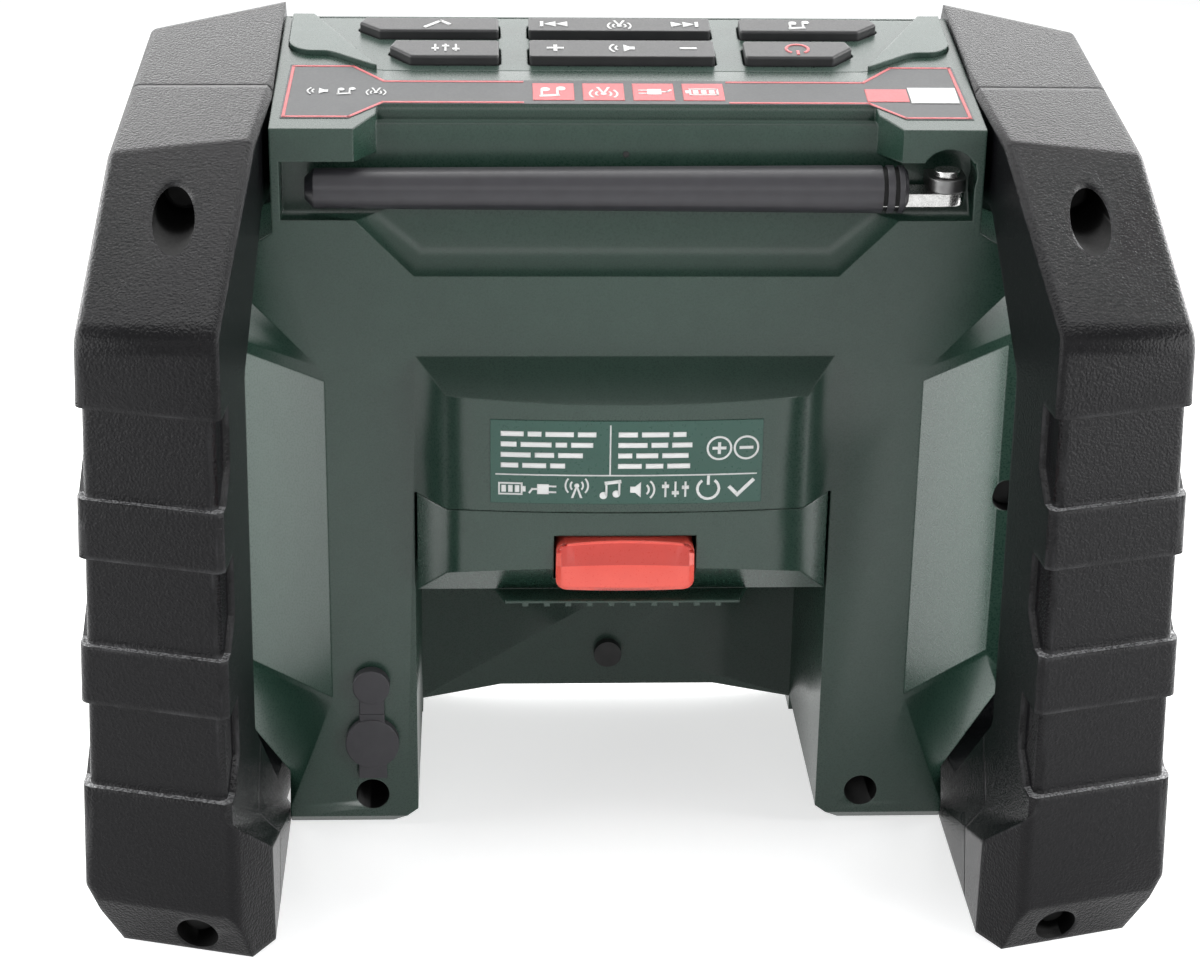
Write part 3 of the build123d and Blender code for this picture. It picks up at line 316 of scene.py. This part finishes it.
def makeWindow():
    material = bpy.data.materials.new("windowSmoke")
    material.use_nodes = True
    tree = material.node_tree
    shader = tree.nodes["Principled BSDF"]
    shader.inputs["Transmission Weight"].default_value = 0.6
    shader.inputs["IOR"].default_value = 1.49
    grain = useGroup(tree, mouldGrain, Pits_per_metre=400.0, Lumps_per_metre=60.0, Depth=0.000004)
    edge = useGroup(tree, softEdge, Radius=0.0003, Amount=0.0)
    wire(tree, edge.outputs["Normal"], grain.inputs["Under"])
    wire(tree, blendColour(tree, grain.outputs["Clouds"], (0.03, 0.035, 0.035), (0.045, 0.05, 0.05)),
         shader.inputs["Base Color"])
    wire(tree, remap(tree, grain.outputs["Pits"], -0.2, 9.0), shader.inputs["Roughness"])
    wire(tree, grain.outputs["Normal"], shader.inputs["Normal"])
    return material


materials["windowSmoke"] = makeWindow()
print("finishes made:", len(materials))


# mesh helpers
def newObject(name, mesh):
    obj = bpy.data.objects.new(name, mesh)
    collection.objects.link(obj)
    return obj


def applied(obj):
    graph = bpy.context.evaluated_depsgraph_get()
    mesh = bpy.data.meshes.new_from_object(obj.evaluated_get(graph))
    mesh.name = obj.name
    obj.modifiers.clear()
    old, obj.data = obj.data, mesh
    bpy.data.meshes.remove(old)
    return obj


def shadeSoft(mesh, angle):
    mesh.polygons.foreach_set("use_smooth", [True] * len(mesh.polygons))
    mesh.set_sharp_from_angle(angle=math.radians(angle))


def finishPiece(obj, body, finish, slot, *replaced):
    obj.data.materials.clear()
    obj.data.materials.append(materials[finish])
    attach(obj, body)
    if replaced:
        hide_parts(*replaced)
    return obj


def meshFrom(work, name):
    mesh = bpy.data.meshes.new(name)
    work.to_mesh(mesh)
    work.free()
    return mesh


copying = {"weld": 0.012, "flat": 1.0, "sharp": 30.0, "roundFrom": 28.0, "roundSteps": 3}  # mm and degrees


def weldedCopy(node):  # a CAD node's triangles, welded, with its flat faces made whole
    work = bmesh.new()
    work.from_mesh(nodes[node].data)
    bmesh.ops.remove_doubles(work, verts=work.verts, dist=copying["weld"] * mm)
    bmesh.ops.dissolve_limit(work, angle_limit=math.radians(copying["flat"]), verts=work.verts,
                             edges=work.edges)
    return work


def evenNormals(obj):  # keeps the shading of broad faces flat beside rounded ones
    weighted = obj.modifiers.new("flatFaces", "WEIGHTED_NORMAL")
    weighted.keep_sharp = True
    return applied(obj)


# a copy of a CAD node with soft shading and, for small pieces, edges rounded over
def softened(node, name, body, slot, s):
    mesh = meshFrom(weldedCopy(node), name)
    shadeSoft(mesh, s.get("sharp", copying["sharp"]))
    obj = newObject(name, mesh)
    if s.get("edge"):
        bevel = obj.modifiers.new("roundedEdges", "BEVEL")
        bevel.width = s["edge"] * mm
        bevel.segments = copying["roundSteps"]
        bevel.limit_method = "ANGLE"
        bevel.angle_limit = math.radians(copying["roundFrom"])
        bevel.miter_outer = "MITER_ARC"
        bevel.use_clamp_overlap = True
    evenNormals(obj)
    return finishPiece(obj, body, s["finish"], slot, node)


# a second finish on the faces that a test picks by their corners, in mm, and their normal
def refinish(obj, finish, picked):
    obj.data.materials.append(materials[finish])
    for face in obj.data.polygons:
        if picked([obj.data.vertices[i].co / mm for i in face.vertices], face.normal):
            face.material_index = len(obj.data.materials) - 1


def inBores(axes, radius):
    return lambda corners, normal: any(
        all(math.hypot(abs(c.x) - x, c.z - z) < radius for c in corners) for x, z in axes)


# flat outlines in mm, laid on a surface by a function that takes (across, along, height)
def thinSheet(name, outlines, place, thick, base=0.0):
    def side(a, b):
        return frozenset((round(x, 3), round(y, 3)) for x, y in (a, b))

    sides = [side(o[i - 1], o[i]) for o in outlines for i in range(len(o))]
    work = bmesh.new()
    for outline in outlines:
        low = [work.verts.new(place(x, y, base)) for x, y in outline]
        high = [work.verts.new(place(x, y, base + thick)) for x, y in outline]
        work.faces.new(high)
        work.faces.new(low[::-1])
        for i in range(len(low)):
            if sides.count(side(outline[i - 1], outline[i])) == 1:  # no wall where two outlines meet
                work.faces.new((low[i - 1], low[i], high[i], high[i - 1]))
    bmesh.ops.remove_doubles(work, verts=work.verts, dist=0.0005 * mm)
    bmesh.ops.recalc_face_normals(work, faces=work.faces)
    return newObject(name, meshFrom(work, name))


def line(points, width, closed=False):  # a flat ribbon as one four-cornered outline per run
    runs = list(zip(points, points[1:] + points[:1])) if closed else list(zip(points, points[1:]))
    outlines = []
    for (ax, ay), (bx, by) in runs:
        length = math.hypot(bx - ax, by - ay)
        ux, uy = (bx - ax) / length * width / 2, (by - ay) / length * width / 2
        outlines.append([(ax - ux + uy, ay - uy - ux), (bx + ux + uy, by + uy - ux),
                         (bx + ux - uy, by + uy + ux), (ax - ux - uy, ay - uy + ux)])
    return outlines


def bar(width, height, x=0.0, y=0.0):
    return [[(x - width / 2, y - height / 2), (x + width / 2, y - height / 2),
             (x + width / 2, y + height / 2), (x - width / 2, y + height / 2)]]


def disc(radius, x=0.0, y=0.0, count=20):
    turns = [2 * math.pi * i / count for i in range(count)]
    return [[(x + radius * math.cos(t), y + radius * math.sin(t)) for t in turns]]


def arc(radius, start, end, width, x=0.0, y=0.0, count=16):
    turns = [math.radians(start + (end - start) * i / count) for i in range(count + 1)]
    outlines = []
    for a, b in zip(turns, turns[1:]):
        near, far = radius - width / 2, radius + width / 2
        corners = ((near, a), (far, a), (far, b), (near, b))
        outlines.append([(x + r * math.cos(t), y + r * math.sin(t)) for r, t in corners])
    return outlines


def shifted(outlines, x, y, size=1.0):
    return [[(px * size + x, py * size + y) for px, py in outline] for outline in outlines]


def mirrored(outlines):  # for signs that are read from behind
    return [[(-x, y) for x, y in outline[::-1]] for outline in outlines]


def upsideDown(outlines):  # for signs on the deck, which are read from the front
    return [[(x, -y) for x, y in outline] for outline in outlines]


# picture signs, about 6 mm wide, with up along +y
def signPlus():
    return bar(4.0, 0.9) + bar(0.9, 3.6)


def signMinus():
    return bar(4.0, 0.9)


def signNext():
    wedge = [[(-3.2, -1.5), (-0.4, 0.0), (-3.2, 1.5)], [(-0.4, -1.5), (2.4, 0.0), (-0.4, 1.5)]]
    return wedge + bar(0.8, 3.0, 2.9, 0.0)


def signBack():
    return mirrored(signNext())


def signPower():
    return arc(2.6, 125, 415, 0.7) + bar(0.7, 2.4, 0.0, 2.2)


def signTick():
    return line([(-2.6, 0.2), (-0.8, -1.7), (2.8, 1.9)], 0.9)


def signSliders():
    marks = []
    for x, y in ((-2.4, 0.8), (0.0, -0.9), (2.4, 0.5)):
        marks += bar(0.5, 4.0, x, 0.0) + bar(1.7, 0.9, x, y)
    return marks


def signNote():
    return disc(0.95, -1.5, -1.5, 14) + disc(0.95, 1.6, -1.1, 14) + bar(0.5, 3.4, -0.8, 0.1) \
        + bar(0.5, 3.4, 2.3, 0.5) + line([(-0.8, 1.7), (2.3, 2.1)], 0.9)


def signHorn():
    horn = [[(-3.0, -0.8), (-1.8, -0.8), (-0.4, -2.0), (-0.4, 2.0), (-1.8, 0.8), (-3.0, 0.8)]]
    return horn + arc(1.5, -50, 50, 0.5) + arc(2.8, -50, 50, 0.5)


def signMast():
    mast = [[(-0.35, 0.6), (-1.4, -2.2), (-0.8, -2.2), (0.0, 0.2), (0.8, -2.2), (1.4, -2.2),
             (0.35, 0.6)]]
    waves = []
    for side in (0, 180):
        for radius in (1.5, 2.7):
            waves += arc(radius, side - 42, side + 42, 0.45, 0.0, 1.0)
    return mast + disc(0.6, 0.0, 1.0, 14) + waves


def signPlug():
    body = [[(-1.6, -1.3), (1.2, -1.3), (1.2, 1.3), (-1.6, 1.3)]]
    return body + bar(1.8, 0.45, 2.1, 0.75) + bar(1.8, 0.45, 2.1, -0.75) \
        + line([(-1.6, 0.0), (-2.8, 0.0), (-3.4, -0.9)], 0.5)


def signBattery():
    cell = line([(-2.8, -1.4), (2.6, -1.4), (2.6, 1.4), (-2.8, 1.4)], 0.45, True)
    return cell + bar(0.7, 1.4, 3.2, 0.0) + bar(1.1, 1.8, -1.7, 0.0) + bar(1.1, 1.8, -0.1, 0.0) \
        + bar(1.1, 1.8, 1.5, 0.0)


slots = {n["node"]: n["material_slot"] for n in frame["record"]["subparts"]}
bodies = {n: b for b, group in frame["record"]["behaviour"]["bodies"].items() for n in group}

# shells and dock; a deep bore is given by its place across and up, in mm, and its inside gets a painted
# shade
shellSet = {
    "rear_shell": {"finish": "bodyGreen", "sharp": 35.0, "boreRadius": 4.1,
                   "bores": [(59.5, 8.6), (95.3, 76.6), (0.0, 17.6)]},
    "front_shell": {"finish": "bodyGreen"},
    "battery_dock": {"finish": "bodyGreen"},
    "top_panel": {"finish": "plateGreen"},
}
for node, s in shellSet.items():
    obj = softened(node, node + "Moulded", bodies[node], slots[node], s)
    if "bores" in s:
        refinish(obj, "boreBlackPaintedShade", inBores(s["bores"], s["boreRadius"]))
print("shells done")

# roll bars
barSet = {"sharp": 36.0, "finish": "barBlack", "bores": [(98.0, 161.7), (96.5, 5.6)], "boreRadius": 4.8,
          "gripFrom": 55.0, "gripLow": 20.0, "gripHigh": 128.0}


# picks the faces that get the painted highlight on the grip steps
def onLedge(corners, normal):  # the steps of the grip that face up
    return normal.z > 0.9 and all(
        c.y > barSet["gripFrom"] and barSet["gripLow"] < c.z < barSet["gripHigh"] for c in corners)


for side in ("left", "right"):
    for half in ("rear", "front"):
        node = f"roll_bar_{side}_{half}"
        obj = softened(node, f"rollBar{side.title()}{half.title()}", bodies[node], slots[node], barSet)
        # bore insides take the painted shade
        refinish(obj, "boreBlackPaintedShade", inBores(barSet["bores"], barSet["boreRadius"]))
        # the up-facing grip steps take the painted highlight
        refinish(obj, "barLedgePaintedHighlight", onLedge)
print("roll bars done")

# keys and small parts: finish, and rounding of the edges in mm
smallSet = {
    "sound_key": ("keyBlack", 0.5), "select_key": ("keyBlack", 0.5), "power_key": ("keyBlack", 0.5),
    "mode_key": ("keyBlack", 0.5), "volume_key": ("keyBlack", 0.5), "channel_key": ("keyBlack", 0.5),
    "aerial_sleeve": ("sleeveBlack", 0.25), "aerial_blade": ("brightSteel", 0.25),
    "aerial_stud": ("darkSteel", 0.3), "aerial_pivot": ("brightSteel", 0.3),
    "inlet_cap": ("softRubber", 0.5), "inlet_anchor": ("softRubber", 0.6),
    "speaker_grille": ("grilleBlack", 0.3),
}
rings = {"axisY": 8.1, "axisZ": 160.3, "radius": 5.15, "from": -61.5, "to": -50.0}


# picks the ring groove floors, which get a painted shade
def inRings(corners, normal):  # the floors of the two ring grooves round the aerial
    return all(math.hypot(c.y - rings["axisY"], c.z - rings["axisZ"]) < rings["radius"]
               and rings["from"] < c.x < rings["to"] for c in corners)


for node, (finish, edge) in smallSet.items():
    obj = softened(node, node + "Soft", bodies[node], slots[node], {"edge": edge, "finish": finish})
    if node == "aerial_sleeve":
        refinish(obj, "boreBlackPaintedShade", inRings)

# release button: bowed edges, and a curved crease above which the face leans back and carries a painted
# shade
button = {"half": 15.9, "low": 69.0, "high": 81.6, "slack": 0.05, "crease": 76.0, "creaseDrop": 1.5,
          "bow": 1.1, "sag": 0.45, "lean": 3.0, "under": 0.5, "frontFrom": 12.0, "upperFrom": 20.0,
          "faceFrom": 24.5, "cuts": 15, "sharp": 20.0}


def bentButton(s):
    work = weldedCopy("release_button")
    planes = [((s["half"] * (2 * i / s["cuts"] - 1), 0, 0), (1, 0, 0)) for i in range(1, s["cuts"])]
    planes += [((0, 0, s["crease"]), (0, 0, 1)), ((0, 0, s["low"]), (0, 0, 1))]
    for place, facing in planes:
        bmesh.ops.bisect_plane(work, geom=work.verts[:] + work.edges[:] + work.faces[:],
                               plane_co=Vector(place) * mm, plane_no=facing, dist=0.01 * mm)
    for v in work.verts:
        x, y, z = v.co / mm
        if y <= s["frontFrom"] or z < s["low"] - s["slack"]:
            continue
        across = (x / s["half"]) ** 2
        rise = (z - s["low"]) / (s["high"] - s["low"])
        if y > s["faceFrom"] and z > s["crease"]:
            y -= s["lean"] * (z - s["crease"]) / (s["high"] - s["crease"])
        elif y > s["faceFrom"]:
            y -= s["under"] * (s["crease"] - z) / (s["crease"] - s["low"])
        z += across * (s["sag"] * (1 - rise) - s["bow"] * rise)
        v.co = Vector((x, y, z)) * mm
    mesh = meshFrom(work, "releaseButtonCreased")
    shadeSoft(mesh, s["sharp"])
    return evenNormals(newObject("releaseButtonCreased", mesh))


def aboveCrease(corners, normal):
    lowest = button["crease"] - button["creaseDrop"]
    return normal.z > 0.3 and all(c.y > button["upperFrom"] and c.z > lowest for c in corners)


obj = finishPiece(bentButton(button), bodies["release_button"], "buttonRed", slots["release_button"],
                  "release_button")
# the faces above the crease take the darker red, a painted shade
refinish(obj, "buttonRedPaintedShade", aboveCrease)

# pieces that keep the mesh of their node
carriedOver = {
    "keypad_mat": "softRubber", "control_board": "boardGreen", "main_board": "boardGreen",
    "release_spring": "brightSteel", "roll_bar_screws": "blackScrew", "shell_screws": "blackScrew",
    "terminal_block": "insideBlackAndHoleShade", "terminal_blades": "contactBrass", "inlet_jack": "insideBlackAndHoleShade",
    "speaker_basket": "darkSteel", "speaker_magnet": "darkSteel", "speaker_cone": "insideBlackAndHoleShade",
    "display_window": "windowSmoke", "display_module": "insideBlackAndHoleShade",
}
for node, finish in carriedOver.items():
    nodes[node].data.materials.clear()
    nodes[node].data.materials.append(materials[finish])
print("small parts done")

# deck: film, red lines, tiles and key marks
deck = {"rearY": 10.5, "rearZ": 174.5, "slope": 9.3}  # mm and degrees, rear edge of the sloping top


def onDeck(x, along, height):
    slope = math.radians(deck["slope"])
    return Vector((x, deck["rearY"] - along * math.cos(slope) + height * math.sin(slope),
                   deck["rearZ"] + along * math.sin(slope) + height * math.cos(slope))) * mm


film = {"thick": 0.12, "stripNear": 13.6, "stripFar": 26.6, "endNear": 5.6, "endFar": 35.2,
        "innerX": 54.8, "outerX": 62.2, "tipX": (77.4, 76.6),
        "lineThick": 0.06, "lineWidth": 0.75, "lineInset": 0.75, "lineEnd": 23.5}


def filmOutline(s, inset=0.0):  # the left half, seen from behind
    near, far = s["stripNear"] + inset, s["stripFar"] - inset
    endNear, endFar = s["endNear"] + inset, s["endFar"] - inset
    tipNear, tipFar = s["tipX"][0] - inset, s["tipX"][1] - inset
    return [(s["innerX"], near), (s["outerX"], endNear), (tipNear, endNear), (tipFar, endFar),
            (s["outerX"], endFar), (s["innerX"], far)]


half = filmOutline(film)
outline = half + [(-x, y) for x, y in half[::-1]]
obj = thinSheet("deckFilm", [outline], onDeck, film["thick"])
finishPiece(obj, "housing", "filmGrey", slots["rear_shell"])
inner = filmOutline(film, film["lineInset"])
run = [(film["lineEnd"], inner[0][1])] + inner + [(film["lineEnd"], inner[-1][1])]
lines = line(run, film["lineWidth"]) + line([(-x, y) for x, y in run], film["lineWidth"])
obj = thinSheet("deckLines", lines, onDeck, film["lineThick"], film["thick"])
finishPiece(obj, "housing", "printRed", slots["rear_shell"])

tiles = {"size": 9.4, "pitch": 11.35, "count": 4, "middle": (-0.6, 20.2), "thick": 0.07}


# Geometry Nodes: a row of square tiles on the deck
def makeTileRow(s):
    tree = bpy.data.node_groups.new("tileRow", "GeometryNodeTree")
    labels = {}
    kinds = {"Count": "NodeSocketInt", "Pitch": "NodeSocketFloat", "Tile size": "NodeSocketFloat",
             "Thickness": "NodeSocketFloat", "Finish": "NodeSocketMaterial"}
    for label, kind in kinds.items():
        labels[label] = tree.interface.new_socket(label, in_out="INPUT", socket_type=kind).identifier
    tree.interface.new_socket("Geometry", in_out="OUTPUT", socket_type="NodeSocketGeometry")
    ins, outs = tree.nodes.new("NodeGroupInput"), tree.nodes.new("NodeGroupOutput")
    row = put(tree, "GeometryNodeMeshLine")
    spacing = put(tree, "ShaderNodeCombineXYZ")
    wire(tree, ins.outputs["Pitch"], spacing.inputs["X"])
    wire(tree, ins.outputs["Count"], row.inputs["Count"])
    wire(tree, spacing.outputs[0], row.inputs["Offset"])
    tile = put(tree, "GeometryNodeMeshCube")
    size = put(tree, "ShaderNodeCombineXYZ")
    wire(tree, ins.outputs["Tile size"], size.inputs["X"])
    wire(tree, ins.outputs["Tile size"], size.inputs["Y"])
    wire(tree, ins.outputs["Thickness"], size.inputs["Z"])
    wire(tree, size.outputs[0], tile.inputs["Size"])
    copies = put(tree, "GeometryNodeInstanceOnPoints")
    wire(tree, row.outputs[0], copies.inputs["Points"])
    wire(tree, tile.outputs[0], copies.inputs["Instance"])
    real = put(tree, "GeometryNodeRealizeInstances")
    painted = put(tree, "GeometryNodeSetMaterial")
    wire(tree, copies.outputs[0], real.inputs[0])
    wire(tree, real.outputs[0], painted.inputs["Geometry"])
    wire(tree, ins.outputs["Finish"], painted.inputs["Material"])
    wire(tree, painted.outputs[0], outs.inputs[0])
    obj = newObject("deckTiles", bpy.data.meshes.new("deckTiles"))
    modifier = obj.modifiers.new("tileRow", "NODES")
    modifier.node_group = tree
    for label, value in (("Count", s["count"]), ("Pitch", s["pitch"] * mm), ("Tile size", s["size"] * mm),
                         ("Thickness", s["thick"] * mm), ("Finish", materials["printRed"])):
        modifier[labels[label]] = value
    return applied(obj)


def layOnDeck(obj, x, along, height):
    slope = math.radians(deck["slope"])
    turn = Matrix.Rotation(-slope, 4, "X")
    obj.data.transform(Matrix.Translation(onDeck(x, along, height)) @ turn)
    return obj


firstTile = tiles["middle"][0] - tiles["pitch"] * (tiles["count"] - 1) / 2
obj = layOnDeck(makeTileRow(tiles), firstTile, tiles["middle"][1], film["thick"] + tiles["thick"] / 2)
finishPiece(obj, "housing", "printRed", slots["rear_shell"])
tileSigns = {"size": 1.15, "thick": 0.05, "signs": (signBattery, signPlug, signMast, signNote)}
marks = []
for i, sign in enumerate(tileSigns["signs"]):
    x = firstTile + i * tiles["pitch"]
    marks += shifted(upsideDown(shifted(sign(), 0, 0, tileSigns["size"])), x, tiles["middle"][1])
rightEnd = {"plate": (11.0, 8.6), "x": -70.0, "along": 18.6, "patch": (9.6, 7.0), "patchX": -59.4}
marks += bar(*rightEnd["plate"], rightEnd["x"], rightEnd["along"])
leftEnd = {"x": 56.5, "along": 20.2, "pitch": 6.6, "size": 0.8, "signs": (signMast, signNote, signHorn)}
for i, sign in enumerate(leftEnd["signs"]):
    x = leftEnd["x"] + i * leftEnd["pitch"]
    marks += shifted(upsideDown(sign()), x, leftEnd["along"], leftEnd["size"])
obj = thinSheet("deckSigns", marks, onDeck, tileSigns["thick"], film["thick"] + tiles["thick"])
finishPiece(obj, "housing", "printWhite", slots["rear_shell"])
patch = bar(*rightEnd["patch"], rightEnd["patchX"], rightEnd["along"])
obj = thinSheet("deckEndPatch", patch, onDeck, tiles["thick"], film["thick"])
finishPiece(obj, "housing", "printRed", slots["rear_shell"])

# marks on the keys: mm above the deck and along it, and each sign's place across
keySet = {"top": 2.2, "markThick": 0.12, "near": 40.6, "far": 55.1,
          "nearKeys": ("volume_key", "sound_key", "power_key")}
keyMarks = {
    "volume_key": [(signPlus, 15.5), (signHorn, 0.0), (signMinus, -15.5)],
    "channel_key": [(signNext, 15.5), (signMast, 0.0), (signBack, -15.5)],
    "select_key": [(signTick, 43.0)], "sound_key": [(signSliders, 41.0)],
    "mode_key": [(signNote, -43.0)], "power_key": [(signPower, -41.0)],
}
for node, placed in keyMarks.items():
    along = keySet["near"] if node in keySet["nearKeys"] else keySet["far"]
    marks = []
    for sign, x in placed:
        marks += shifted(upsideDown(sign()), x, along)
    obj = thinSheet(node + "Mark", marks, onDeck, keySet["markThick"], keySet["top"])
    finishPiece(obj, bodies[node], "printRed" if node == "power_key" else "printWhite", slots[node])
print("deck done")

# rating plate on the curved face of the block
plate = {"half": 31.0, "low": 90.1, "high": 110.4, "faceY": 20.5, "bulge": 2.5, "faceHalf": 41.0,
         "thick": 0.15, "steps": 16, "sharp": 30.0, "printThick": 0.05, "lineWidth": 0.35, "margin": 1.2,
         "ruleZ": 97.0, "ruleSteps": 12, "divider": (3.6, 97.3, 109.4)}
plateSigns = {"x": 26.3, "z": 93.7, "pitch": 7.5, "size": 0.95, "signs": (
    signBattery, signPlug, signMast, signNote, signHorn, signSliders, signPower, signTick)}
poles = {"z": 103.6, "radius": 2.7, "width": 0.5, "turns": 28, "size": 0.8,
         "signs": ((-21.0, signPlus), (-27.2, signMinus))}
# plain rows, broken into short runs of these lengths; a column starts at its left, seen from behind
rows = {"top": 107.7, "pitch": 2.55, "height": 1.2, "gap": 0.9, "steps": 2, "columns": (
    (28.6, ((5.2, 3.1, 6.4, 4.2), (3.6, 7.0, 2.6, 5.0), (6.8, 4.4, 5.6), (4.0, 5.4, 3.4))),
    (2.0, ((4.4, 6.2, 3.0), (6.6, 3.8, 4.6), (3.2, 5.0, 6.0), (5.4, 4.0, 5.2))))}


def onBlock(x, z, height):  # the face of the block is a shallow arc
    y = plate["faceY"] + plate["bulge"] * (1 - (x / plate["faceHalf"]) ** 2) + height
    return Vector((x, y, z)) * mm


def strips(x0, x1, z0, z1, count):
    xs = [x0 + (x1 - x0) * i / count for i in range(count + 1)]
    return [[(a, z0), (b, z0), (b, z1), (a, z1)] for a, b in zip(xs, xs[1:])]


def rowMarks(s, index):
    marks = []
    high = s["top"] - s["pitch"] * index
    for start, runs in s["columns"]:
        at = start
        for run in runs[index]:
            marks += strips(at - run, at, high - s["height"], high, s["steps"])
            at -= run + s["gap"]
    return marks


def plateMarks(s):
    end = s["half"] - s["margin"]
    marks = strips(-end, end, s["ruleZ"], s["ruleZ"] + s["lineWidth"], s["ruleSteps"])
    x, low, high = s["divider"]
    marks += strips(x, x + s["lineWidth"], low, high, 1)
    for i, sign in enumerate(plateSigns["signs"]):
        x = plateSigns["x"] - i * plateSigns["pitch"]
        marks += shifted(mirrored(sign()), x, plateSigns["z"], plateSigns["size"])
    for index in range(4):
        marks += rowMarks(rows, index)
    for x, sign in poles["signs"]:
        ring = arc(poles["radius"], 0, 360, poles["width"], count=poles["turns"])
        marks += shifted(ring, x, poles["z"]) + shifted(sign(), x, poles["z"], poles["size"])
    return marks


sheet = strips(-plate["half"], plate["half"], plate["low"], plate["high"], plate["steps"])
obj = thinSheet("ratingPlate", sheet, onBlock, plate["thick"])
shadeSoft(obj.data, plate["sharp"])
finishPiece(obj, "housing", "plateDark", slots["rear_shell"])
obj = thinSheet("ratingPlateLines", plateMarks(plate), onBlock, plate["printThick"], plate["thick"])
finishPiece(obj, "housing", "printWhite", slots["rear_shell"])

# a black disc on the back of the recess above the aerial: a painted shade where a small hole is
hole = {"radius": 0.75, "x": 0.3, "z": 166.6, "backY": 2.36, "thick": 0.04}


def onRecess(x, z, height):  # the upright back of the recess
    return Vector((x, hole["backY"] + height, z)) * mm


obj = thinSheet("recessHolePaintedShade", disc(hole["radius"], hole["x"], hole["z"]), onRecess, hole["thick"])
# the disc takes black, a painted shade for the hole
finishPiece(obj, "housing", "insideBlackAndHoleShade", slots["rear_shell"])
print("rating plate done")

# studio
camera = {"place": (33.1, 594.7, 332.2), "heading": 2.71, "tilt": 22.4, "roll": -0.87, "lens": 81.72}


def makeCamera(s):
    heading, tilt, roll = (math.radians(s[k]) for k in ("heading", "tilt", "roll"))
    ahead = Vector((-math.sin(heading) * math.cos(tilt), -math.cos(heading) * math.cos(tilt),
                    -math.sin(tilt)))
    right = ahead.cross(Vector((0, 0, 1))).normalized()
    down = ahead.cross(right)
    right, down = (right * math.cos(roll) + down * math.sin(roll),
                   down * math.cos(roll) - right * math.sin(roll))
    turn = Matrix((right, -down, -ahead)).transposed().to_4x4()
    data = bpy.data.cameras.new("rearView")
    data.lens = s["lens"]
    data.sensor_width = 36
    data.clip_start, data.clip_end = 0.01, 50
    obj = newObject("rearView", data)
    obj.matrix_world = Matrix.Translation(Vector(s["place"]) * mm) @ turn
    bpy.context.scene.camera = obj


makeCamera(camera)
lamps = {
    "leftPanel": {"at": (0.46, -0.08, 0.23), "aim": (0, -0.08, 0.23), "size": (1.1, 0.42), "watts": 6.5},
    "rightPanel": {"at": (-0.46, 0.0, 0.23), "aim": (0, 0.0, 0.23), "size": (1.2, 0.42), "watts": 8.5},
    "backPanel": {"at": (0, -0.65, 0.5), "aim": (0, 0, 0.3), "size": (1.0, 0.46), "watts": 4},
    "topPanel": {"at": (0, -0.22, 0.78), "aim": (0, -0.2, 0), "size": (0.95, 0.24), "watts": 3.5},
    "frontFill": {"at": (0, 1.3, 0.6), "aim": (0, 0.1, 0.05), "size": (1.2, 0.4), "watts": 2.3},
}
for name, s in lamps.items():
    data = bpy.data.lights.new(name, "AREA")
    data.shape = "RECTANGLE"
    data.size, data.size_y = s["size"]
    data.energy = s["watts"]
    obj = newObject(name, data)
    obj.location = s["at"]
    obj.rotation_euler = (Vector(s["aim"]) - Vector(s["at"])).to_track_quat("-Z", "Y").to_euler()
    obj.visible_camera = False


def seenRays(tree):  # 1 where a ray shows the background, straight, through glass or in a reflection
    path = tree.nodes.new("ShaderNodeLightPath")
    seen = math2(tree, "MAXIMUM", path.outputs["Is Camera Ray"], path.outputs["Is Transmission Ray"])
    return math2(tree, "MAXIMUM", seen, path.outputs["Is Glossy Ray"])


room = {"light": (0.92, 0.96, 1, 1), "strength": 0.22}
paperSet = {"size": 12, "colour": (0.74, 0.74, 0.74, 1), "glow": 0.62}


def makeWorld(s):
    world = bpy.data.worlds.new("whiteRoom")
    world.use_nodes = True
    bpy.context.scene.world = world
    tree = world.node_tree
    tree.nodes.clear()
    out = tree.nodes.new("ShaderNodeOutputWorld")
    mixer = tree.nodes.new("ShaderNodeMixShader")
    seen = put(tree, "ShaderNodeBackground", Color=(1, 1, 1, 1), Strength=1.0)
    soft = put(tree, "ShaderNodeBackground", Color=s["light"], Strength=s["strength"])
    factor = seenRays(tree)
    wire(tree, factor, mixer.inputs[0])
    wire(tree, soft.outputs[0], mixer.inputs[1])
    wire(tree, seen.outputs[0], mixer.inputs[2])
    wire(tree, mixer.outputs[0], out.inputs[0])


def makeFloor(s):
    bpy.ops.mesh.primitive_plane_add(size=s["size"], location=(0, 0, 0))
    floor = bpy.context.object
    floor.name = "paperFloor"
    material = bpy.data.materials.new("paperWhite")
    material.use_nodes = True
    tree = material.node_tree
    tree.nodes.clear()
    out = tree.nodes.new("ShaderNodeOutputMaterial")
    paper = put(tree, "ShaderNodeBsdfDiffuse", Color=s["colour"])
    glow = put(tree, "ShaderNodeEmission", Color=(1, 1, 1, 1), Strength=s["glow"])
    both = tree.nodes.new("ShaderNodeAddShader")
    mixer = tree.nodes.new("ShaderNodeMixShader")
    factor = seenRays(tree)
    wire(tree, paper.outputs[0], both.inputs[0])
    wire(tree, glow.outputs[0], both.inputs[1])
    wire(tree, factor, mixer.inputs[0])
    wire(tree, paper.outputs[0], mixer.inputs[1])
    wire(tree, both.outputs[0], mixer.inputs[2])
    wire(tree, mixer.outputs[0], out.inputs[0])
    floor.data.materials.append(material)


makeWorld(room)
makeFloor(paperSet)
bpy.context.scene.view_settings.view_transform = "Standard"
print("studio done")
